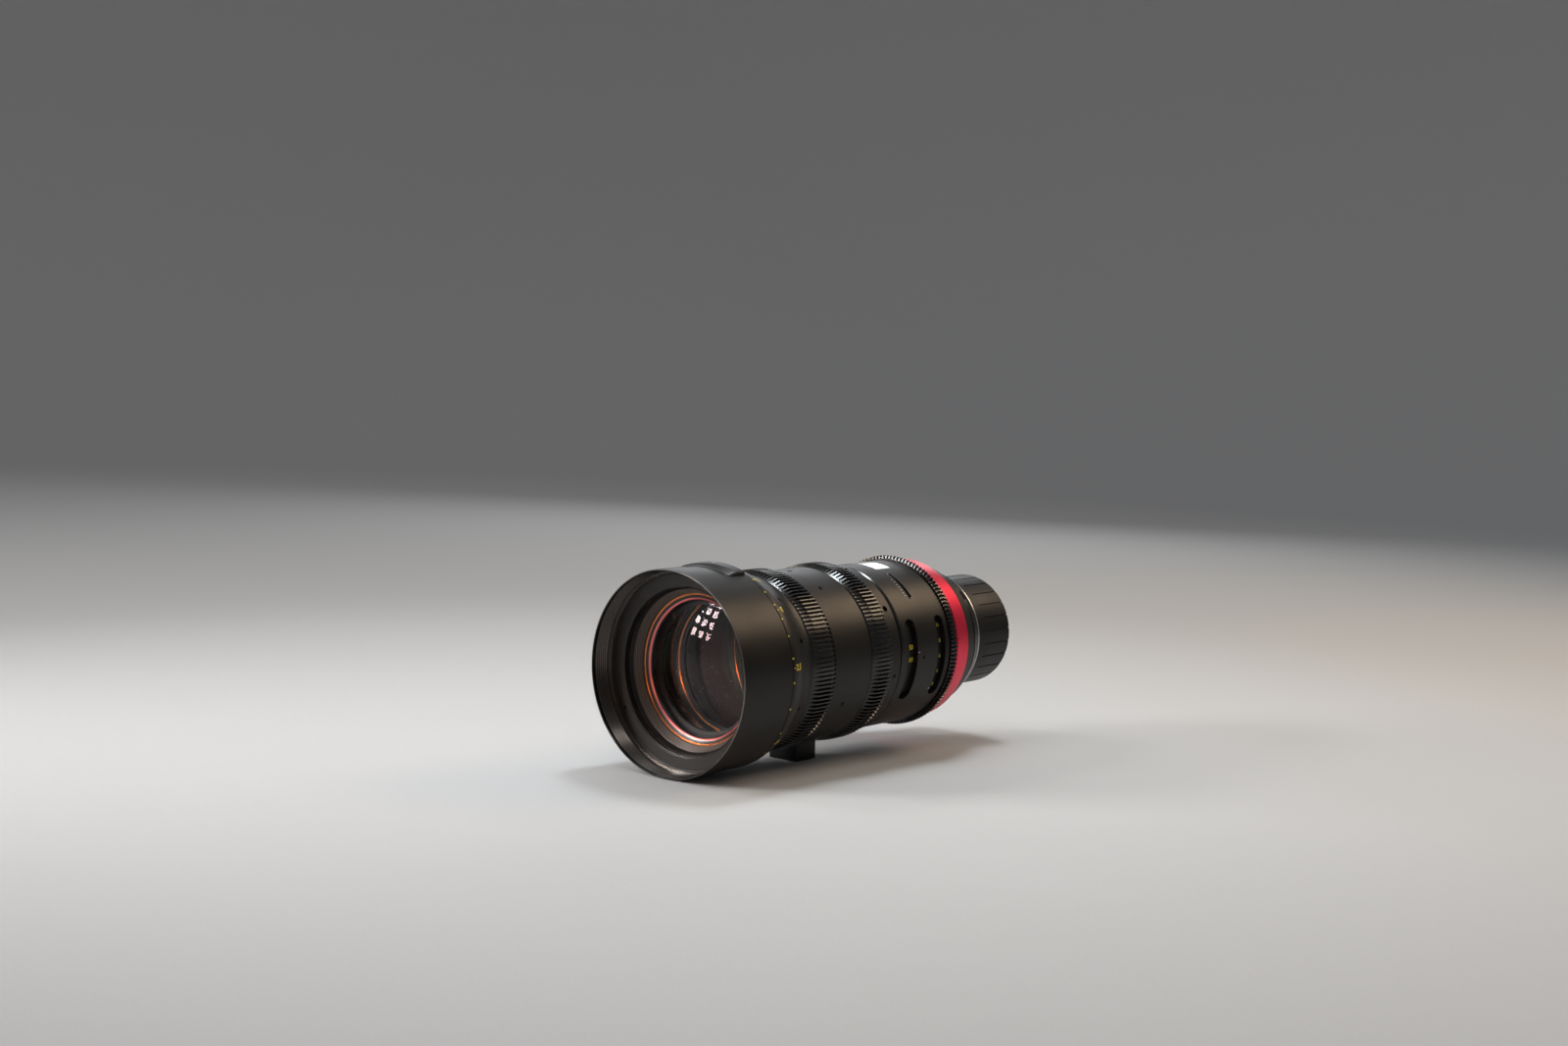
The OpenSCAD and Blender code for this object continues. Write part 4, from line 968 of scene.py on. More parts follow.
class Workshop:
    """What every sub-assembly is built with: finishes, repeat trees and mark making."""

    def __init__(self) -> None:
        """Builds the finishes, the trees and the small pieces that are copied."""
        self.finish = Finishes()
        self.trees = RepeatTrees()
        self.set_screw = self._set_screw()
        self.dot = self._dot()

    def lathe(self, name: str, profile: Profile, finish: str, corner: float) -> Mesh:
        """Turns a ring-like piece with rounded corners.

        Args:
            name: Name of the piece.
            profile: Closed profile as (station, radius).
            finish: Name of its material.
            corner: Corner radius in mm.

        Returns:
            The piece.
        """
        piece = new_piece(name, turned(rounded(profile, corner)), self.finish[finish])
        shade(piece)
        return piece

    def copy_node(self, name: str, node: str, finish: str, bevel: float) -> Mesh:
        """Copies a CAD node's mesh, merges it and breaks its sharp edges.

        Args:
            name: Name of the new piece.
            node: CAD node.
            finish: Name of its material.
            bevel: Width of the broken edges in mm.

        Returns:
            The piece.
        """
        mesh = bmesh.new()
        mesh.from_mesh(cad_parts[node].data)
        bmesh.ops.remove_doubles(mesh, verts=mesh.verts, dist=1e-6)
        bmesh.ops.dissolve_limit(mesh, angle_limit=math.radians(0.2), verts=mesh.verts,
                                 edges=mesh.edges)
        piece = new_piece(name, mesh, self.finish[finish])
        step = piece.modifiers.new("edges", "BEVEL")
        step.width, step.segments, step.limit_method = bevel * MM, 2, "ANGLE"
        step.angle_limit = math.radians(35)
        settle(piece)
        shade(piece, 30)
        return piece

    def dress(self, finish: str, *nodes: str) -> None:
        """Gives CAD nodes that keep their own shape a finish.

        Args:
            finish: Name of the material.
            nodes: CAD nodes.
        """
        for node in nodes:
            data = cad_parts[node].data
            for k in range(len(data.materials)):
                data.materials[k] = self.finish[finish]

    def _set_screw(self) -> Mesh:
        """Makes the set screw with a hexagonal socket, pointing to +Z at the origin."""
        mesh = bmesh.new()
        around, key, outer = 48, 0.75, 1.45
        rows = [(-2.5, outer, False), (-0.5, outer, False), (-0.36, outer - 0.12, False),
                (-0.36, key, True), (-1.35, key, True)]
        rings = []
        for height, radius, hexed in rows:
            ring = []
            for k in range(around):
                turn = math.tau * k / around
                reach = radius
                if hexed:
                    part = (turn % (math.pi / 3)) - math.pi / 6
                    reach = radius * math.cos(math.pi / 6) / math.cos(part)
                ring.append(mesh.verts.new(
                    Vector((reach * math.cos(turn), reach * math.sin(turn), height)) * MM))
            rings.append(ring)
        for low, high in zip(rings, rings[1:]):
            skin(mesh, low, high)
        mesh.faces.new(rings[0])
        mesh.faces.new(rings[-1])
        screw = new_piece("set_screw_pattern", outwards(mesh), self.finish["screw_black"])
        shade(screw)
        return screw

    def _dot(self) -> Mesh:
        """Makes a small raised paint dot of 1 mm at the origin, facing +Z."""
        mesh = bmesh.new()
        bmesh.ops.create_cone(mesh, cap_ends=True, segments=20, radius1=0.5 * MM,
                              radius2=0.46 * MM, depth=MARK_H * MM)
        return new_piece("dot_pattern", mesh, self.finish["yellow_paint"])

    def at_places(self, name: str, places: Places, pattern: Mesh, finish: str,
                  size: float = 1.0) -> Mesh:
        """Puts copies of a small piece at given places.

        Args:
            name: Name of the new piece.
            places: Each as (station, clock angle, radius).
            pattern: The small piece.
            finish: Name of the material.
            size: Scale of the copies.

        Returns:
            One piece with all the copies.
        """
        data = bpy.data.meshes.new(name)
        data.from_pydata([place(s, r, c) for s, c, r in places], [], [])
        clock = data.attributes.new("clock", "FLOAT", "POINT")
        for k, spot in enumerate(places):
            clock.data[k].value = math.radians(spot[1])
        piece = self.trees.grow(link(name, data), self.trees.at_places, Piece=pattern, Size=size,
                                Finish=self.finish[finish])
        shade(piece)
        return piece

    def ticks(self, finish: str, count: int, first: float, step: float, station: float,
              radius: float, width: float, length: float, name: str = "tick") -> Mesh:
        """Makes a row of scale marks round the axis.

        Args:
            finish: Name of the material.
            count: Number of marks.
            first: Clock angle of the first mark, in degrees.
            step: Angle between marks, in degrees.
            station: Station of their middle.
            radius: Radius of the surface.
            width: Width round the axis, in mm.
            length: Length along the axis, in mm.
            name: Name of the piece.

        Returns:
            The piece.
        """
        return self.trees.grow(
            new_piece(name, bmesh.new(), None), self.trees.ticks, Copies=count,
            First_angle=math.radians(first), Step_angle=math.radians(step), Radius=radius * MM,
            Place=(station - FLANGE_STATION) * MM, Width=width * MM, Length=length * MM,
            Lift=MARK_H * MM, Finish=self.finish[finish])

    def figure(self, text: str, station: float, clock: float, height: float,
               surface: Callable[[float], float]) -> Mesh:
        """Writes a yellow number on a turned surface, its baseline running rearwards.

        Args:
            text: The digits.
            station: Station of its middle.
            clock: Clock angle of its middle.
            height: Height of the digits in mm.
            surface: Gives the surface radius at a station.

        Returns:
            The piece, bent onto the surface.
        """
        curve = bpy.data.curves.new("figure", "FONT")
        curve.body, curve.size = text, 1.0
        curve.align_x, curve.align_y = "CENTER", "CENTER"
        curve.resolution_u = 4
        curve.offset = 0.026
        source = link("figure", curve)
        bpy.context.view_layer.update()
        data = bpy.data.meshes.new_from_object(
            source.evaluated_get(bpy.context.evaluated_depsgraph_get()))
        bpy.data.objects.remove(source)
        mesh = bmesh.new()
        mesh.from_mesh(data)
        bpy.data.meshes.remove(data)
        bmesh.ops.remove_doubles(mesh, verts=mesh.verts, dist=1e-5)
        digit_share, lift = 0.7, 0.05
        scale = height / digit_share
        top = bmesh.ops.extrude_face_region(mesh, geom=mesh.faces[:])
        raised = {v for v in top["geom"] if isinstance(v, bmesh.types.BMVert)}
        for v in mesh.verts:
            s = station + v.co.x * scale
            radius = surface(s)
            angle = clock - math.degrees(v.co.y * scale / radius)
            v.co = place(s, radius + (lift if v in raised else -lift), angle)
        return new_piece("figure_" + text, outwards(mesh), self.finish["yellow_paint"])

    def gear(self, name: str, teeth: int, station: float, length: float, bore: float, ramp: float,
             drop: float, rim: float = 0.0) -> Mesh:
        """Builds a lens gear as a core with its teeth round it.

        Args:
            name: Name of the piece.
            teeth: Number of teeth.
            station: Station of its front face.
            length: Length along the axis.
            bore: Inside radius.
            ramp: Length over which the teeth rise at the front.
            drop: Drop of the core at the front face.
            rim: Length of a plain rim in front of the teeth.

        Returns:
            The piece.
        """
        tip = GEAR_MODULE * (teeth + 2) / 2
        root = tip - 2.25 * GEAR_MODULE
        end, front = station + length, station + rim
        core: Profile = [(station, bore), (station, root - drop),
                         (front + (ramp * 0.22 if drop else 0.0), root), (end, root), (end, bore)]
        piece = self.lathe(name, core, "black_gear", 0.1)
        mesh = bmesh.new()
        step, lip = math.tau / teeth, 0.3
        base = root - 0.15
        rows = [(front + (ramp * 0.1 if drop else 0.0), 0.02), (front + ramp, 1.0),
                (front + ramp + 0.6, 1.0), (end - lip - 0.2, 1.0), (end - lip, 1.0), (end, 0.8)]
        sections = []
        for s, share in rows:
            top = base + (tip - base) * share
            radii = [base + (top - base) * k / 3 for k in range(4)]
            heights = [(r, 0.3 - 0.16 * (r - base) / (tip - base)) for r in radii]
            line = [(r, -w) for r, w in heights] + [(r, w) for r, w in reversed(heights)]
            sections.append([mesh.verts.new(place(s, r, math.degrees(w * step))) for r, w in line])
        for here, there in zip(sections, sections[1:]):
            skin(mesh, here, there)
        mesh.faces.new(sections[0])
        mesh.faces.new(sections[-1])
        tooth = new_piece("tooth", outwards(mesh), None)
        self.trees.grow(tooth, self.trees.round_axis, Copies=teeth, First_angle=0.0,
                        Step_angle=step, Finish=self.finish["black_gear"])
        join(piece, tooth)
        shade(piece, 14)
        return piece

    def glass(self, name: str, radius: float, rim: float, station: float, thick: float,
              front: float, rear: float, finish: str) -> Mesh:
        """Builds a round glass with a flat rim.

        Args:
            name: Name of the piece.
            radius: Outside radius.
            rim: Width of the flat rim.
            station: Station of the rim's front.
            thick: Thickness at the rim.
            front: Radius of curvature in front; negative is hollow.
            rear: The same behind.
            finish: Name of the material.

        Returns:
            The piece.
        """
        clear, steps, edge = radius - rim, 26, 0.15
        radii = [clear * k / steps for k in range(steps + 1)]

        def sag(curve: float, r: float) -> float:
            """Finds how far a curved face stands proud of the rim.

            Args:
                curve: Radius of curvature.
                r: Distance from the axis.

            Returns:
                The height in mm.
            """
            size = abs(curve)
            rise = math.sqrt(size ** 2 - r ** 2) - math.sqrt(size ** 2 - clear ** 2)
            return math.copysign(rise, curve)

        end = station + thick
        profile: Profile = [(station - sag(front, r), r) for r in radii]
        profile += [(station, radius - edge), (station + edge, radius), (end - edge, radius),
                    (end, radius - edge)]
        profile += [(end + sag(rear, r), r) for r in reversed(radii)]
        piece = new_piece(name, turned(profile, steps=160), self.finish[finish])
        shade(piece, 25)
        return piece


@dataclass
class SubAssembly:
    """What the sub-assemblies share: the workshop, and the body that their pieces move with."""

    shop: Workshop
    body: str = "lens_body"

    def finish_off(self, piece: Mesh, slot: Slot, node: str, bands: dict[str, Bands] | None = None,
                   body: str = "") -> None:
        """Paints a piece and ties it to the frame.

        Args:
            piece: The piece.
            slot: Its material slot.
            node: CAD node that it stands for.
            bands: Other finishes by name, each with its bands.
            body: CAD body, where it isn't the sub-assembly's own.
        """
        for finish, places in (bands or {}).items():
            paint_bands(piece, self.shop.finish[finish], places)
        seat(piece, body or self.body, slot, node)

    def ring(self, name: str, node: str, profile: Profile, finish: str, slot: Slot, corner: float,
             cuts: Sequence[Solid] = (), bands: dict[str, Bands] | None = None,
             body: str = "") -> None:
        """Turns a piece that stands for one CAD node, cuts it, paints it and ties it on.

        Args:
            name: Name of the piece.
            node: CAD node.
            profile: Closed profile as (station, radius).
            finish: Name of its material.
            slot: Its material slot.
            corner: Corner radius in mm.
            cuts: Solids that are cut out of it.
            bands: Other finishes by name, each with its bands.
            body: CAD body, where it isn't the sub-assembly's own.
        """
        piece = self.shop.lathe(name, profile, finish, corner)
        if cuts:
            cut(piece, cuts)
            shade(piece)
        self.finish_off(piece, slot, node, bands, body)

    def set_screws(self, name: str, node: str, places: Places) -> None:
        """Puts set screws in a ring.

        Args:
            name: Name of the piece.
            node: CAD node that it stands for.
            places: Each as (station, clock angle, radius).
        """
        screws = self.shop.at_places(name, places, self.shop.set_screw, "screw_black")
        seat(screws, self.body, Slot.SCREW, node)

    def scale(self, name: str, slot: Slot, parts: Sequence[Mesh]) -> None:
        """Joins marks and numbers of one finish into one piece on the body.

        Args:
            name: Name of the piece.
            slot: Its material slot.
            parts: The marks and numbers.
        """
        first, *rest = parts
        join(first, *rest)
        first.name = name
        seat(first, self.body, slot)


@dataclass
class FrontGroup(SubAssembly):
    """Front ring, housing, mouth rings and the two fixed front elements."""

    front_r: float = 57.0
    ring_l: float = 17.4
    thread_r: float = 56.0
    thread_l: float = 11.2
    thread_pitch: float = 1.5
    thread_depth: float = 0.5
    seat_r: float = 54.4
    seat_s: float = 13.8
    housing_s: float = 17.5
    housing_r: float = 56.4
    housing_end: float = 39.6
    cell_r: float = 45.85
    pad_h: float = 2.0
    pad_l: float = 13.0
    pad_half: float = 21.0
    pad_ramp: float = 6.5
    pad_corner: float = 3.2
    spanner: tuple[float, float] = (60.0, 240.0)

    def build(self) -> None:
        """Builds every piece of the group."""
        self._front_ring()
        web, bore = self.housing_end - 3.0, self.cell_r + 0.05
        housing: Profile = [
            (self.housing_s, bore), (self.housing_s, self.housing_r),
            (self.housing_end, self.housing_r), (self.housing_end, BARREL_R), (web, BARREL_R),
            (web, bore)]
        self.ring("front_housing_piece", "front_housing", housing, "black_anodised",
                  Slot.ANODISED, 0.2)
        self._pad()
        self._retaining_ring()
        self._lens_cell()
        self._glass()

    def _front_ring(self) -> None:
        """Front ring with the filter thread's grooves and the stepped seat behind it."""
        edge, low, high = 0.4, self.thread_r, self.thread_r + self.thread_depth
        profile: Profile = [
            (0.9, low), (0.5, low), (0.0, low + edge), (0.0, self.front_r - edge),
            (0.5, self.front_r), (self.ring_l - 0.25, self.front_r),
            (self.ring_l, self.front_r - 0.25), (self.ring_l, self.seat_r),
            (self.seat_s, self.seat_r)]
        reach = self.seat_s - self.thread_l
        for share, inset in ((0.98, 0.1), (0.74, 0.25), (0.68, 0.55), (0.4, 0.7), (0.34, 1.0),
                             (0.06, 1.15)):
            profile.append((self.thread_l + reach * share, self.seat_r + inset))
        s, pitch = self.thread_l - 0.3, self.thread_pitch
        for _ in range(int((self.thread_l - 1.6) / pitch)):
            profile += [(s, low), (s - pitch * 0.42, high), (s - pitch * 0.58, high),
                        (s - pitch * 0.92, low)]
            s -= pitch
        self.ring("front_ring_piece", "front_ring", profile, "black_anodised", Slot.ANODISED,
                  0.06, bands={
                      "black_rim": [(-0.1, self.ring_l + 0.1, 50, 56.55)],
                      "thread_edge": [(0.9, self.thread_l, 56.1, 56.4),
                                      (self.thread_l, 13.7, 54.4, 55.9)],
                      "rim_edge": [(-0.1, 0.48, 56.52, 57.1)]})

    def _half_at(self, share: float) -> float:
        """Finds how wide the pad is.

        Args:
            share: Share of its length.

        Returns:
            Its half angle in degrees.
        """
        near = max(0.0, self.pad_corner - self.pad_l * share)
        narrow = self.pad_corner - math.sqrt(max(self.pad_corner ** 2 - near ** 2, 0.0))
        return self.pad_half - math.degrees(narrow / self.housing_r)

    def _pad(self) -> None:
        """Raised index pad whose top rises over a ramp and whose front corners are round."""
        start, base = self.housing_end - self.pad_l, self.housing_r + 0.05
        low, round_edge = 0.35, 2.2
        across, along = 44, 16
        mesh = bmesh.new()
        top, floor = [], []
        for rows, raised in ((top, True), (floor, False)):
            for i in range(along + 1):
                run = self.pad_l * i / along
                t = min(1.0, run / self.pad_ramp)
                height = low + (self.pad_h - low - 0.1) * (t * t * (3 - 2 * t))
                half = self._half_at(i / along)
                row = []
                for k in range(across + 1):
                    share = 2 * k / across - 1
                    edge = min(1.0, (1 - abs(share)) * half / round_edge)
                    rise = height * math.sqrt(max(0.0, 1 - (1 - edge) ** 2)) if raised else -0.03
                    row.append(mesh.verts.new(place(start + run, base + rise, share * half)))
                rows.append(row)
            for here, there in zip(rows, rows[1:]):
                skin(mesh, here, there, closed=False)
        for end in (0, -1):
            skin(mesh, top[end], floor[end], closed=False)
            skin(mesh, [row[end] for row in top], [row[end] for row in floor], closed=False)
        pad = new_piece("index_pad_piece", outwards(mesh), self.shop.finish["black_anodised"])
        shade(pad, 40)
        seat(pad, self.body, Slot.ANODISED, "index_pad")
        mark = self.shop.ticks("white_paint", 1, 0.0, 0.0, self.housing_end - 2.6,
                               self.housing_r + self.pad_h - 0.06, 0.5, 4.2, "focus_index")
        seat(mark, self.body, Slot.ANODISED)

    def _retaining_ring(self) -> None:
        """Wide ring in the mouth with two spanner holes."""
        face, nose = self.seat_s, 47.5
        outer, clear = self.seat_r - 0.05, 46.3
        profile: Profile = [
            (face, outer), (face + 0.18, outer - 0.5), (face + 0.1, outer - 0.9),
            (face + 1.1, nose), (face + 1.8, clear), (self.ring_l, clear), (self.ring_l, outer)]
        holes = [along_axis(0.9, 4, place(face, (outer + nose) / 2, clock))
                 for clock in self.spanner]
        self.ring("retaining_ring_piece", "mouth_retaining_ring", profile, "mouth_bronze",
                  Slot.BRONZE, 0.12, holes)

    def _lens_cell(self) -> None:
        """Cell of the front elements: a lip, a grooved conical band and the glass seats."""
        glass_r, second_r, inner = 39.65, 35.45, 40.95
        cone_s, cone_r, cone_l, cone_drop, steps = 21.0, 44.65, 4.8, 2.85, 5
        profile: Profile = [(18.6, self.cell_r), (cone_s, cone_r)]
        for k in range(steps):
            s0, s1 = (cone_s + cone_l * j / steps for j in (k, k + 1))
            r0, r1 = (cone_r - cone_drop * j / steps for j in (k, k + 1))
            profile += [(s0 + 0.14, r0 - 0.3), (s1 - 0.1, r1 + 0.12)]
        deep, shallow = second_r - 1.25, second_r - 0.85
        profile += [(25.8, 41.8), (30.0, 41.8), (30.0, glass_r), (35.55, glass_r), (35.55, deep),
                    (36.2, shallow), (36.9, deep), (37.6, shallow), (38.5, deep),
                    (38.5, second_r), (44.3, second_r), (44.3, inner), (36.55, inner),
                    (36.55, self.cell_r)]
        self.ring("front_lens_cell_piece", "front_lens_cell", profile, "mouth_bronze",
                  Slot.BRONZE, 0.1, bands={
                      # The conical band's lighter bronze is partly painted light.
                      "cone_bronze": [(21.05, 25.82, 41.7, 44.7)],
                      "cell_black": [(25.85, 44.4, 33.0, 42.0), (18.7, 21.0, 44.6, 45.9)],
                      # The thin orange bands on the glass seats are painted highlights.
                      "orange_edge": [(35.9, 36.5, 34.5, 34.75), (37.3, 37.9, 34.5, 34.75)]})
        clamp: Profile = [
            (26.25, 41.75), (26.3, 41.3), (26.6, 40.8), (27.4, 39.5), (27.45, 39.3),
            (28.1, 38.2), (28.3, 38.0), (28.75, 37.6), (29.95, 37.6), (29.95, 41.75)]
        # The clamp's thin orange band is a painted highlight.
        self.ring("front_glass_ring_piece", "front_glass_ring", clamp, "cell_black",
                  Slot.BRONZE, 0.06, bands={"orange_edge": [(26.2, 26.62, 40.75, 41.8)],
                                            # The pink band is a painted reflection of the red coat.
                                            "pink_edge": [(27.42, 28.15, 38.15, 39.35)]})

    def _glass(self) -> None:
        """Front element and second fixed element."""
        front = self.shop.glass("front_glass_piece", 39.6, 2.05, 30.0, 5.5, 92.0, -230.0,
                                "glass_front")
        self.finish_off(front, Slot.GLASS, "front_element",
                        {"glass_teal_coat": [(31.6, 35.6, 0.0, 37.6)]})
        second = self.shop.glass("second_glass_piece", 35.4, 1.25, 38.55, 5.7, -400.0, -260.0,
                                 "glass_inner")
        self.finish_off(second, Slot.GLASS, "second_element",
                        {"glass_red_coat": [(41.8, 44.22, 0.0, 34.2)]})


@dataclass
class FocusGroup(SubAssembly):
    """Focus ring with its scale, gear and screws, and the sliding focus cell."""

    body: str = "focus_ring_body"
    slide_body: str = "focus_group"
    start: float = 39.9
    taper_l: float = 24.0
    front_r: float = 56.4
    waist_r: float = 49.6
    lip: float = 0.6
    bore: float = 43.9
    gear_l: float = 18.2
    line_s: float = 40.6
    hole: tuple[float, float] = (55.3, 69.0)
    screws: tuple[tuple[float, float], ...] = ((51.8, 41.0), (54.4, 111.0), (53.1, 231.0))
    dots: tuple[float, ...] = (37.1, 46.6, 55.8, 66.0, 78.5, 91.9, 107.0, 122.6, 139.5, 157.0,
                               176.0, 197.0, 219.0, 243.0, 268.0)
    figures: tuple[tuple[str, float, float], ...] = (
        ("15", 45.0, 25.9), ("8", 44.6, 50.0), ("2.5", 45.4, 83.8), ("5", 44.0, 130.7),
        ("4", 44.0, 166.0), ("3", 44.0, 208.0), ("2", 44.0, 255.0))

    def surface(self, station: float) -> float:
        """Finds the outside radius of the focus ring.

        Args:
            station: Distance behind the front rim, in mm.

        Returns:
            The radius in mm.
        """
        share = (station - self.start - self.lip) / (self.taper_l - 2 * self.lip)
        share = min(1.0, max(0.0, share))
        return self.waist_r + (self.front_r - self.waist_r) * (1 + math.cos(math.pi * share)) / 2

    def build(self) -> None:
        """Builds every piece of the group."""
        gear, steps = self.start + self.taper_l, 40
        end = gear + self.gear_l
        taper = [self.start + self.lip + (self.taper_l - 2 * self.lip) * k / steps
                 for k in range(steps + 1)]
        profile: Profile = [(self.start, self.bore), (self.start, self.front_r)]
        profile += [(s, self.surface(s)) for s in taper]
        profile += [(gear, self.waist_r), (gear, GEAR_SEAT_R), (end, GEAR_SEAT_R),
                    (end, self.bore)]
        places = [(s, clock, self.surface(s) - 0.6) for s, clock in self.screws]
        cutters = [bar(SCREW_R, self.waist_r - 2.2, 58, *self.hole)]
        cutters += [bar(SCREW_R, r - SCREW_HOLE_L, 58, s, clock) for s, clock, r in places]
        self.ring("focus_ring_piece", "focus_ring", profile, "black_anodised", Slot.ANODISED,
                  0.15, cutters)
        self.set_screws("focus_set_screws", "focus_ring_screws", places)
        teeth = self.shop.gear("focus_gear_piece", 127, gear, self.gear_l, 47.95, 5.5, 0.4)
        seat(teeth, self.body, Slot.GEAR, "focus_gear")
        self._scale()
        self._cell()

    def _scale(self) -> None:
        """Thin scale line, dots, ticks and plain distance numbers."""
        radius, half = self.surface(self.line_s), 0.09
        front, rear = self.line_s - half, self.line_s + half
        low, high = radius - 0.05, radius + 0.025
        strip: Profile = [(front, low), (rear, low), (rear, high), (front, high)]
        line = new_piece("focus_scale_line", turned(strip), self.shop.finish["line_black"])
        seat(line, self.body, Slot.ANODISED)
        spots = [(self.line_s + 0.1, clock, radius + 0.02) for clock in self.dots]
        parts = [self.shop.at_places("focus_dots", spots, self.shop.dot, "yellow_paint", 1.15)]
        tick_s = self.line_s + 0.9
        for text, station, clock in self.figures:
            parts += [self.shop.figure(text, station, clock, 3.3, self.surface),
                      self.shop.ticks("yellow_paint", 1, clock, 0.0, tick_s,
                                      self.surface(tick_s), 0.5, 1.4)]
        self.scale("focus_scale_marks", Slot.ANODISED, parts)

    def _cell(self) -> None:
        """Sliding cell with baffle steps in front of its glass, the glass and the pins."""
        centre, half, glass_r, glass_rim = 59.0, 8.0, 36.7, 1.25
        front, mouth_r, drop, steps = centre - half, 38.6, 3.1, 5
        run = half - drop
        profile: Profile = [(front, SLIDE_R), (front, mouth_r)]
        for k in range(steps):
            s, r = front + 0.3 + run * k / steps, mouth_r - drop * k / steps
            profile += [(s, r - 0.1), (s + run / steps - 0.35, r - 0.2)]
        profile += [(centre - 3.0, 35.5), (centre - 3.0, glass_r + 0.05),
                    (centre + half, glass_r + 0.05), (centre + half, SLIDE_R)]
        # The orange bands on the cell's front edges are painted highlights.
        self.ring("focus_cell_piece", "focus_cell", profile, "cell_black", Slot.CELL, 0.08,
                  [bar(SCREW_R, glass_r + 0.1, 42, centre, clock) for clock in (150, 330)],
                  {"orange_edge": [(front - 0.1, front + 0.6, 38.2, 39.4),
                                   (front + 2.6, front + 3.3, 36.0, 37.4)]}, self.slide_body)
        glass = self.shop.glass("focus_glass_piece", glass_r, glass_rim, centre - 2.95, 6.0,
                                110.0, -110.0, "glass_inner")
        coat = {"glass_green_coat": [(centre - 10.0, centre - 3.0, 0.0, glass_r - glass_rim)]}
        self.finish_off(glass, Slot.GLASS, "focus_element", coat, self.slide_body)
        self.shop.dress("pin_brass", "focus_follower_pins")


@dataclass
class MiddleGroup(SubAssembly):
    """Fixed middle body with its set screws and the support foot."""

    start: float = 83.3
    length: float = 33.0
    radius: float = 49.7
    bore: float = 46.2
    screws: tuple[float, ...] = (4.8, 32.7, 115.4, 240.0)

    def build(self) -> None:
        """Builds every piece of the group."""
        end, web, station = self.start + self.length, self.start + 3.0, self.start + 12.9
        profile: Profile = [
            (self.start, BARREL_R), (self.start, self.radius - 1.2),
            (self.start + 1.2, self.radius), (end - 0.5, self.radius), (end, self.radius - 0.5),
            (end, self.bore), (web, self.bore), (web, BARREL_R)]
        profile = with_rings(profile, [station - 2.1, station + 2.1])
        cutters = [bar(SCREW_R, self.radius - SCREW_HOLE_L, 52, station, c) for c in self.screws]
        self.ring("middle_body_piece", "middle_body", profile, "black_anodised", Slot.ANODISED,
                  0.15, cutters)
        self.set_screws("middle_set_screws", "middle_body_screws",
                        [(station, clock, self.radius) for clock in self.screws])
        foot = self.shop.copy_node("support_foot_piece", "support_foot", "foot_black", 0.25)
        seat(foot, self.body, Slot.ANODISED, "support_foot")
        self.shop.dress("screw_black", "foot_screws")
        self.shop.dress("inside_black", "main_barrel")


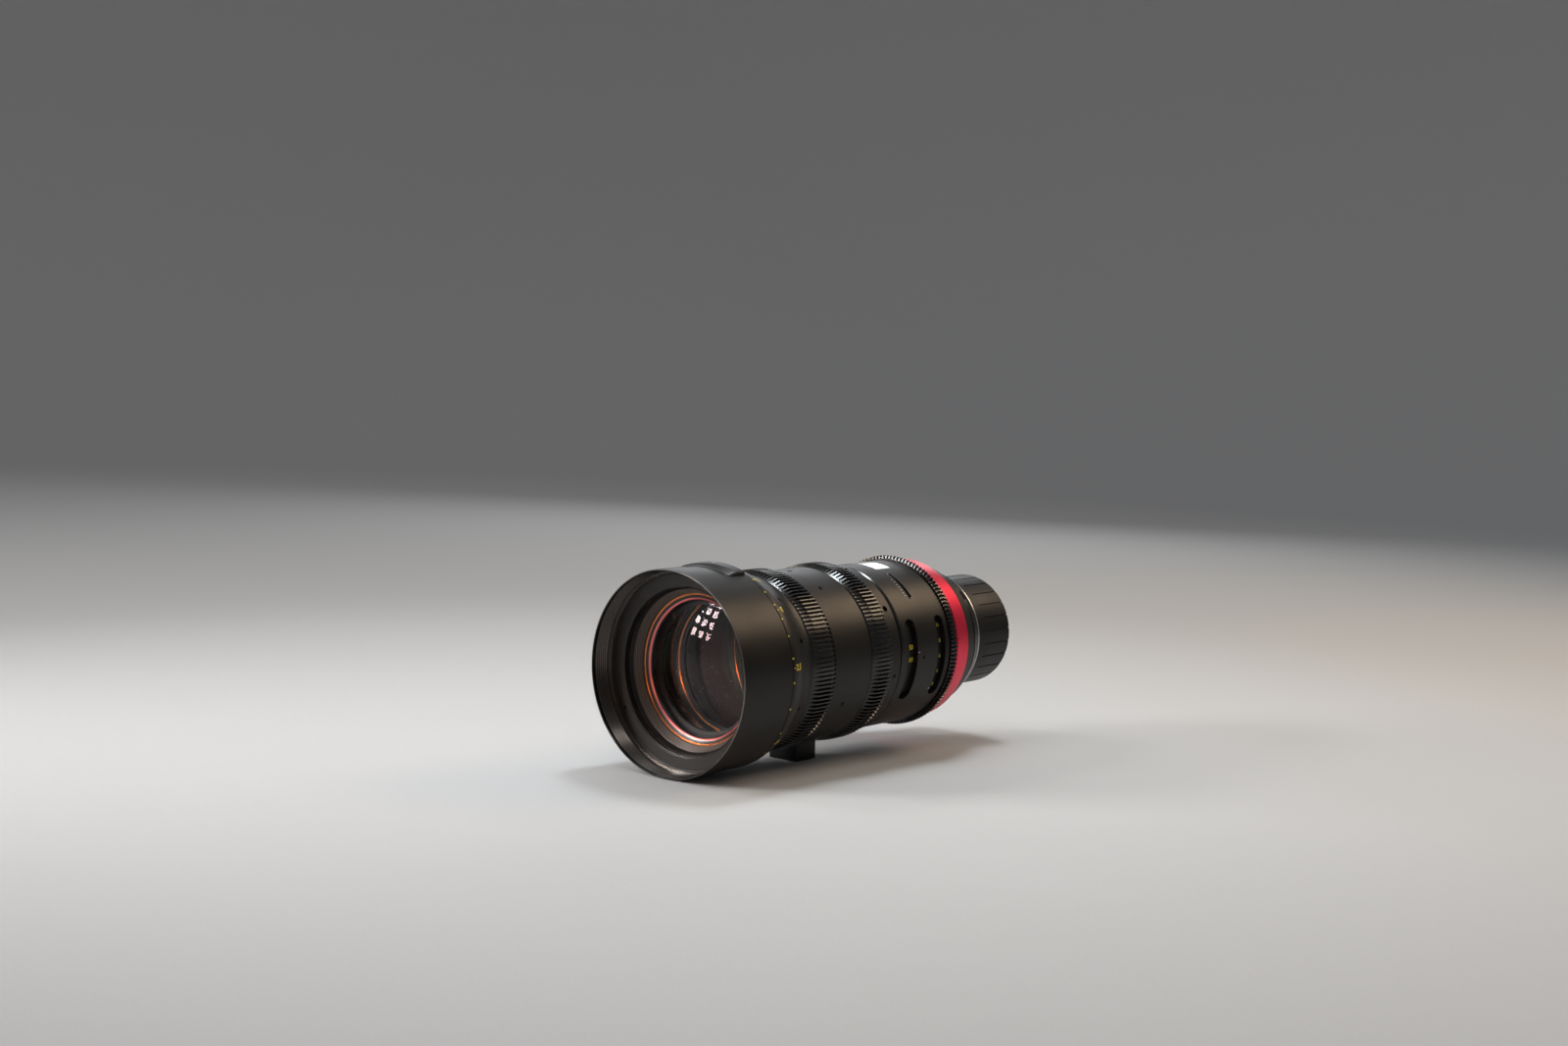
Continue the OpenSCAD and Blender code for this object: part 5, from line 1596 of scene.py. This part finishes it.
@dataclass
class ZoomGroup(SubAssembly):
    """Zoom ring with its gear and band, the scale drum and the two groups that it slides."""

    body: str = "zoom_ring_body"
    start: float = 116.6
    gear_l: float = 16.3
    band_s: float = 133.0
    band_l: float = 12.5
    band_r: float = 49.7
    bore: float = 45.95
    screws: tuple[float, ...] = (13.2, 101.0, 221.0)
    hole: float = 55.4
    lengths: tuple[tuple[str, float], ...] = (
        ("28", 20.0), ("35", 52.0), ("50", 84.5), ("60", 93.6), ("76", 128.0), ("24", -8.0))

    def build(self) -> None:
        """Builds every piece of the group."""
        end, station = self.band_s + self.band_l, self.band_s + 4.8
        profile: Profile = [
            (self.start, self.bore), (self.start, GEAR_SEAT_R), (self.band_s, GEAR_SEAT_R),
            (self.band_s, self.band_r - 0.5), (self.band_s + 0.5, self.band_r),
            (end - 2.9, self.band_r), (end, self.band_r - 2.2), (end, self.bore)]
        profile = with_rings(profile, [station - 2.3, station + 2.3])
        cutters = [bar(SCREW_R, self.band_r - SCREW_HOLE_L, 52, station, c) for c in self.screws]
        cutters.append(bar(1.8, self.band_r - 2.0, 52, station, self.hole))
        self.ring("zoom_ring_piece", "zoom_ring", profile, "black_anodised", Slot.ANODISED, 0.2,
                  cutters)
        self.set_screws("zoom_set_screws", "zoom_ring_screws",
                        [(station, clock, self.band_r) for clock in self.screws])
        teeth = self.shop.gear("zoom_gear_piece", 127, self.start, self.gear_l, 47.95, 5.5, 0.4)
        seat(teeth, self.body, Slot.GEAR, "zoom_gear")
        self.ring("zoom_drum_piece", "zoom_scale_drum",
                  [(145.6, 43.9), (145.6, DRUM_R), (162.8, DRUM_R), (162.8, 43.9)],
                  "scale_drum_black", Slot.DRUM, 0.1)
        parts = [self.shop.figure(text, 157.4, clock, 2.7, lambda s: DRUM_R)
                 for text, clock in self.lengths]
        parts.append(self.shop.ticks("yellow_paint", 16, -10.0, 10.0, 154.0, DRUM_R, 0.3, 1.3))
        self.scale("zoom_scale_marks", Slot.DRUM, parts)
        self._sliding("variator", 98.5, 5.5, 33.7, 9.4, (-220.0, -120.0), (150, 330))
        self._sliding("compensator", 137.6, 4.5, 32.7, 4.5, (270.0, -140.0), (60, 240))
        self.shop.dress("inside_black", "zoom_cam_tube")

    def _sliding(self, group: str, centre: float, half: float, glass_r: float, thick: float,
                 curves: tuple[float, float], pins: tuple[float, float]) -> None:
        """Builds one sliding cell and its glass, and dresses its pins.

        Args:
            group: First word of the nodes' names.
            centre: Station of the cell's middle.
            half: Half of the cell's length.
            glass_r: Radius of the glass.
            thick: Edge thickness of the glass.
            curves: Front and rear curvature.
            pins: Clock angles of the pins.
        """
        front, end, seat_s = centre - half, centre + half, centre - thick / 2
        profile: Profile = [
            (front, SLIDE_R), (front, glass_r + 2.2), (front + 0.4, glass_r + 1.6),
            (seat_s, glass_r - 1.2), (seat_s, glass_r + 0.05), (end, glass_r + 0.05),
            (end, SLIDE_R)]
        body = group + "_group"
        # The orange band on the cell's front edge is a painted highlight.
        self.ring(group + "_cell_piece", group + "_cell", profile, "inside_black", Slot.CELL,
                  0.06, [bar(SCREW_R, glass_r + 0.1, 42, centre, clock) for clock in pins],
                  {"orange_edge": [(front - 0.1, front + 0.45, glass_r + 1.5, glass_r + 3.0)]},
                  body)
        glass = self.shop.glass(group + "_glass_piece", glass_r, 1.25, seat_s + 0.05, thick,
                                *curves, "glass_inner")
        self.finish_off(glass, Slot.GLASS, group + "_element", body=body)
        self.shop.dress("pin_brass", group + "_follower_pins")


@dataclass
class RearGroup(SubAssembly):
    """Rear body with its windows, marks slot and top plate, and the fixed relay in front."""

    start: float = 145.8
    length: float = 46.0
    radius: float = 48.6
    bore: float = 46.2
    windows: tuple[tuple[float, float], ...] = ((151.4, 9.0), (179.9, 7.5))
    window_clock: tuple[float, float] = (64.4, 123.0)
    mark_slot: tuple[float, float, float, float] = (165.5, 3.0, 24.0, 50.0)
    plate: tuple[float, float, float] = (162.8, 176.8, 17.0)
    screws: tuple[float, ...] = (92.3, 212.3, 332.3)
    web: tuple[float, float] = (163.1, 177.2)

    def build(self) -> None:
        """Builds every piece of the group."""
        end, station = self.start + self.length, self.start + 19.7
        profile: Profile = [
            (self.start, self.bore), (self.start, self.radius - 0.5),
            (self.start + 1.4, self.radius), (end - 0.5, self.radius), (end, self.radius - 0.5),
            (end, self.bore), (self.web[1], self.bore), (self.web[1], BARREL_R),
            (self.web[0], BARREL_R), (self.web[0], self.bore)]
        beside = [s for a, w in (*self.windows, self.mark_slot[:2])
                  for s in (a - 0.9, a - 0.35, a + w + 0.35, a + w + 0.9)]
        front, rear, half = self.plate
        profile = with_rings(profile, sorted({*beside, front - 0.5, rear + 0.5}))
        ring = self.shop.lathe("rear_body_piece", profile, "black_anodised", 0.15)
        over = 50
        cutters = [slot_cutter(s, w, *self.window_clock, self.bore - 1, over)
                   for s, w in self.windows]
        cutters.append(slot_cutter(*self.mark_slot, self.radius - 0.8, over))
        recess: Profile = [(front, self.radius - 0.7), (rear, self.radius - 0.7), (rear, over),
                           (front, over)]
        cutters.append(turned(recess, -half, 2 * half, 40))
        cutters += [bar(SCREW_R, self.radius - SCREW_HOLE_L, over, station, clock)
                    for clock in self.screws]
        cut(ring, cutters)
        shade(ring)
        edges = [(slot_outline(s, w, *self.window_clock, self.radius), 0.16)
                 for s, w in self.windows]
        edges.append((slot_outline(*self.mark_slot, self.radius), 0.2))
        for outline, thick in edges:
            join(ring, bead([place(s, self.radius - 0.03, c) for s, c in outline], thick))
        shade(ring)
        mark_s, mark_w = self.mark_slot[:2]
        self.finish_off(ring, Slot.ANODISED, "rear_body", {
            "rim_edge": [(mark_s - 0.4, mark_s + mark_w + 0.4, self.radius + 0.02,
                          self.radius + 0.3)],
            "black_gear": [(self.start - 0.1, self.start + 1.35, self.radius - 0.55,
                            self.radius - 0.01)]})
        self.set_screws("rear_set_screws", "rear_body_screws",
                        [(station, clock, self.radius) for clock in self.screws])
        self._plate()
        rows = ((7, 31.5, 2.6, 163.7, 1.3), (1, 88.2, 0.0, 161.6, 1.6), (1, 117.0, 0.0, 178.7, 1.6))
        self.scale("rear_index_marks", Slot.ANODISED, [
            self.shop.ticks("white_paint", count, first, step, s, self.radius, 0.3, length)
            for count, first, step, s, length in rows])
        self.shop.dress("inside_black", "relay_front_cell")
        self.shop.dress("glass_inner", "relay_front_element")

    def _plate(self) -> None:
        """Blank bright plate let into the top."""
        front, rear, half = self.plate
        low, high, gap = self.radius - 0.65, self.radius - 0.05, 0.12
        profile: Profile = [(front + 0.05, low), (front + 0.05, high), (rear - 0.05, high),
                            (rear - 0.05, low)]
        mesh = turned(rounded(profile, 0.12), gap - half, 2 * (half - gap), 40)
        plate = new_piece("top_plate_piece", mesh, self.shop.finish["plate_gloss"])
        shade(plate)
        seat(plate, self.body, Slot.PLATE, "top_plate")


@dataclass
class IrisGroup(SubAssembly):
    """Iris gear ring and scale drum, and the iris inside."""

    body: str = "iris_ring_body"
    start: float = 192.1
    length: float = 4.6
    blades: int = 9
    stops: tuple[tuple[str, float], ...] = (
        ("3", 117.0), ("4", 105.6), ("6", 94.1), ("8", 82.7), ("11", 71.3), ("16", 59.9),
        ("22", 48.4), ("32", 37.0))

    def build(self) -> None:
        """Builds every piece of the group."""
        ring = self.shop.gear("iris_gear_piece", 126, self.start, self.length, 45.95, 0.5, 0.0, 1.0)
        seat(ring, self.body, Slot.GEAR, "iris_gear_ring")
        self.ring("iris_drum_piece", "iris_scale_drum",
                  [(177.5, 43.9), (177.5, DRUM_R), (196.7, DRUM_R), (196.7, 43.9)],
                  "scale_drum_black", Slot.DRUM, 0.1, [bar(1.2, 43, 47, 181.6, 200)])
        parts = [self.shop.figure(text, 185.3, clock, 2.2, lambda s: DRUM_R)
                 for text, clock in self.stops]
        parts.append(self.shop.ticks("yellow_paint", 15, 37.0, 80 / 14, 182.6, DRUM_R, 0.3, 1.0))
        self.scale("iris_scale_marks", Slot.DRUM, parts)
        self.shop.dress("inner_aluminium", "iris_drive_ring")
        self.shop.dress("pin_brass", "iris_drive_pin")
        self.shop.dress("inside_black", "iris_housing")
        self.shop.dress("blade_steel", *(f"iris_blade_{k}" for k in range(1, self.blades + 1)))


@dataclass
class TailGroup(SubAssembly):
    """Red ring, tail cone, camera mount, relay glass and rear barrel."""

    notch: tuple[float, float, float] = (6.4, 3.4, 1.5)
    notch_clock: float = 49.0
    mount_s: float = 222.8

    def build(self) -> None:
        """Builds every piece of the group."""
        red: Profile = [(197.0, BARREL_R), (197.0, 49.6), (197.5, 50.1), (210.5, 48.3),
                        (211.0, 47.8), (211.0, BARREL_R)]
        self.ring("red_ring_piece", "red_ring", red, "red_anodised", Slot.RED, 0.15)
        tail: Profile = [(211.1, BARREL_R), (211.1, 45.9), (213.9, 45.9), (213.9, 45.2),
                         (222.7, 43.9), (222.7, BARREL_R)]
        self.ring("tail_cone_piece", "tail_cone", tail, "black_anodised", Slot.ANODISED, 0.12)
        self._mount_ring()
        self.shop.dress("mount_steel", "mount_flange", "mount_screws")
        barrel = self.shop.copy_node("rear_barrel_piece", "rear_barrel", "cell_black", 0.12)
        seat(barrel, self.body, Slot.CELL, "rear_barrel")
        self.shop.dress("inside_black", "relay_cell")
        self.shop.dress("glass_inner", "relay_element", "rear_element")

    def _mount_ring(self) -> None:
        """Glossy ring with its key notch and its screw holes."""
        start, end, bore = self.mount_s, 234.0, 27.05
        profile: Profile = [(start, bore), (start, 42.1), (start + 0.5, 42.6), (225.8, 42.6),
                            (233.5, 39.5), (end, 39.0), (end, bore)]
        notch = bmesh.new()
        turn = Matrix.Rotation(math.radians(self.notch_clock), 4, "Y")
        move = Matrix.Translation((0, (start + 1.3 - FLANGE_STATION) * MM, 42.85 * MM))
        size = Matrix.Diagonal((*(width * MM for width in self.notch), 1))
        bmesh.ops.create_cube(notch, size=1.0, matrix=turn @ move @ size)
        holes = [along_axis(1.1, 6, place(233.0, 30.6, 45 + 90 * k)) for k in range(4)]
        self.ring("mount_ring_piece", "mount_ring", profile, "mount_black", Slot.MOUNT, 0.15,
                  [notch, *holes])


@dataclass
class CapGroup(SubAssembly):
    """Rear cap: a smooth skirt and a grip of flat lands between narrow grooves."""

    body: str = "rear_cap_body"
    start: float = 236.0
    end: float = 275.0
    radius: float = 34.2
    skirt: float = 12.6
    lands: int = 26
    groove_w: float = 0.8
    groove_d: float = 0.5

    def build(self) -> None:
        """Builds the cap."""
        grip_s, grip_r = self.start + self.skirt, self.radius - 0.3
        core_r, bore, inner = grip_r - self.groove_d, 27.3, self.radius - 5.2
        face, floor, step_s = self.end - 0.35, self.end - 2.6, self.start + 6
        core: Profile = [
            (self.start, bore), (self.start, self.radius - 0.5), (self.start + 0.5, self.radius),
            (grip_s, self.radius), (grip_s + 0.3, core_r), (self.end - 1.1, core_r),
            (self.end, core_r - 0.9), (self.end, 21.0), (face, 20.4), (face, 14.0), (face, 7.0),
            (face, 0.0), (floor, 0.0), (floor, inner), (step_s, inner), (step_s, bore)]
        cap = self.shop.lathe("rear_cap_piece", core, "cap_plastic", 0.2)
        half = 180 / self.lands - math.degrees(self.groove_w / 2 / grip_r)
        land: Profile = [(grip_s + 0.35, core_r - 0.15), (grip_s + 0.35, grip_r),
                         (self.end - 1.1, grip_r), (self.end - 0.15, grip_r - 0.95),
                         (self.end - 0.15, core_r - 1.3), (self.end - 1.6, core_r - 0.15)]
        step = 360 / self.lands
        mesh = turned(rounded(land, 0.12, steps=2), step / 2 - half, 2 * half, 8)
        trees = self.shop.trees
        rib = trees.grow(new_piece("land", mesh, None), trees.round_axis, Copies=self.lands,
                         First_angle=0.0, Step_angle=math.radians(step),
                         Finish=self.shop.finish["cap_plastic"])
        join(cap, rib)
        shade(cap)
        seat(cap, self.body, Slot.CAP, "rear_cap")


@dataclass
class Studio:
    """Camera, floor, backdrop and lamps."""

    camera_at: Triple = (0.79001663, -1.06732205, 0.19149664)
    right: Triple = (0.75927064, 0.65033022, 0.0240561)
    up: Triple = (-0.07930952, 0.05577879, 0.99528826)
    back: Triple = (0.64592421, -0.75760104, 0.09392858)
    lens_mm: float = 49.5
    floor_slope: float = 0.0305
    rim_bottom: tuple[float, float] = (0.5, -57.0)
    floor_r: float = 3.0
    bend_r: float = 1.2
    wall_h: float = 2.6

    def build(self) -> None:
        """Builds the studio."""
        self._camera()
        self._floor()
        self._lamps()
        self._world()
        bpy.context.scene.view_settings.view_transform = "Standard"

    def _camera(self) -> None:
        """Camera at the photograph's viewing angle."""
        data = bpy.data.cameras.new("camera")
        data.lens, data.sensor_width = self.lens_mm, 36.0
        data.clip_start, data.clip_end = 0.01, 50.0
        camera = link("camera", data)
        turn = Matrix((self.right, self.up, self.back)).transposed()
        camera.matrix_world = Matrix.Translation(self.camera_at) @ turn.to_4x4()
        bpy.context.scene.camera = camera

    def _floor(self) -> None:
        """Pale floor that rises smoothly into a round backdrop."""
        mesh = bmesh.new()
        steps, bends = 96, 12
        line = [(r, 0.0) for r in (0.15, 0.4, 0.9, 1.6, 2.4, self.floor_r)]
        for k in range(1, bends + 1):
            turn = math.pi / 2 * k / bends
            line.append((self.floor_r + self.bend_r * math.sin(turn),
                         self.bend_r * (1 - math.cos(turn))))
        line.append((self.floor_r + self.bend_r, self.wall_h))
        centre = mesh.verts.new((0, 0, 0))
        turns = [math.tau * k / steps for k in range(steps)]
        rings = [[mesh.verts.new((r * math.cos(t), r * math.sin(t), h)) for t in turns]
                 for r, h in line]
        for k in range(steps):
            mesh.faces.new((centre, rings[0][k], rings[0][(k + 1) % steps]))
        for low, high in zip(rings, rings[1:]):
            for k in range(steps):
                after = (k + 1) % steps
                mesh.faces.new((low[k], high[k], high[after], low[after]))
        tilt = Matrix.Rotation(-math.atan(self.floor_slope), 4, "X")
        station, height = self.rim_bottom
        rim = Vector((0, (station - FLANGE_STATION) * MM, height * MM - 1e-5))
        mesh.transform(Matrix.Translation(rim) @ tilt)
        floor = new_piece("floor", mesh, self._floor_material())
        floor.data.shade_smooth()

    @staticmethod
    def _floor_material() -> Material:
        """Pale matt paper."""
        material, sketch, shader = new_material("pale_paper")
        noise = sketch.add("ShaderNodeTexNoise", Vector=sketch.spot(), Scale=900.0, Detail=3.0)
        tone = sketch.add("ShaderNodeMapRange", Value=noise.outputs["Fac"], To_Min=0.55,
                          To_Max=0.6)
        colour = sketch.add("ShaderNodeCombineColor",
                            **{part: tone.outputs[0] for part in ("Red", "Green", "Blue")})
        for key, value in {"Base Color": colour.outputs[0], "Roughness": 0.9,
                           "Specular IOR Level": 0.2}.items():
            sketch.feed(shader, key, value)
        return material

    @staticmethod
    def _lamp(name: str, at: Vector, aim: Vector, size: tuple[float, float], power: float,
              colour: Colour, spread: float = 180.0) -> None:
        """Adds a soft rectangular lamp.

        Args:
            name: Name of the lamp.
            at: Its place, in metres.
            aim: Point that it faces.
            size: Width and height in metres.
            power: Power in watts.
            colour: Light colour.
            spread: Angle of its beam in degrees, small where a grid keeps it off the floor.
        """
        data = bpy.data.lights.new(name, "AREA")
        data.spread = math.radians(spread)
        data.shape, data.size, data.size_y = "RECTANGLE", size[0], size[1]
        data.energy, data.color = power, colour
        facing = (aim - at).to_track_quat("-Z", "Y").to_matrix().to_4x4()
        link(name, data).matrix_world = Matrix.Translation(at) @ facing

    def _lamps(self) -> None:
        """Soft boxes placed where their reflections lie as in the photograph."""
        aim = Vector((0, -0.12, 0))

        def at(azimuth: float, elevation: float, distance: float) -> Vector:
            """Finds a point in a direction from the lens.

            Args:
                azimuth: 0 in front and 90 on the camera side, in degrees.
                elevation: Angle above the lens, in degrees.
                distance: Distance in metres.

            Returns:
                The point in metres.
            """
            a, e = math.radians(azimuth), math.radians(elevation)
            return aim + distance * Vector((math.sin(a) * math.cos(e), -math.cos(a) * math.cos(e),
                                            math.sin(e)))

        strip, ramps = aim + Vector((-0.36, 0.06, 1.5)), aim + Vector((-0.25, 0.62, 1.5))
        for name, spot, size, power, colour, spread in (
                ("strip", strip, (1.15, 0.5), 4.5, (0.9, 0.96, 1.0), 180),
                ("warm_side", at(158, 36, 1.6), (0.8, 0.5), 7, (1.0, 0.76, 0.52), 180),
                ("ramps", ramps, (0.32, 0.32), 1.05, (0.88, 0.95, 1.0), 60),
                ("back_wide", at(-144, 19, 2.1), (1.1, 0.5), 4, (0.94, 0.97, 1.0), 180),
                ("front_high", at(-22, 48, 1.9), (0.6, 0.4), 2, (1.0, 0.97, 0.95), 180),
                ("rim_high", at(30, 54, 1.8), (0.4, 0.25), 1.8, (1.0, 0.98, 0.95), 180),
                ("left_high", at(-66, 44, 1.7), (0.2, 0.2), 3.5, (1.0, 0.98, 0.96), 180),
                ("warm_front", at(17, 13, 1.7), (0.1, 0.25), 1.2, (1.0, 0.5, 0.2), 180)):
            self._lamp(name, spot, aim, size, power, colour, spread)
        for row in range(3):
            for column in range(3):
                spot = at(-44 + 7.0 * column, 11 + 6.5 * row, 1.5)
                self._lamp(f"window_{row}_{column}", spot, aim, (0.1, 0.1), 0.16 + 0.05 * row,
                           (1.0, 0.97, 0.95), 60)

    @staticmethod
    def _world() -> None:
        """Plain pale surroundings."""
        world = bpy.data.worlds.new("studio")
        bpy.context.scene.world = world
        world.use_nodes = True
        back = world.node_tree.nodes["Background"]
        back.inputs["Color"].default_value = (0.82, 0.84, 0.87, 1)
        back.inputs["Strength"].default_value = 0.3


def main() -> None:
    """Builds the studio and then every sub-assembly, front to rear."""
    logging.basicConfig(level=logging.INFO, format="%(name)s: %(message)s")
    Studio().build()
    shop = Workshop()
    for group in (FrontGroup, FocusGroup, MiddleGroup, ZoomGroup, RearGroup, IrisGroup, TailGroup,
                  CapGroup):
        LOG.info("building %s", group.__name__)
        group(shop).build()
    for pattern in (shop.set_screw, shop.dot):
        bpy.data.objects.remove(pattern)


if __name__ == "__main__":
    main()
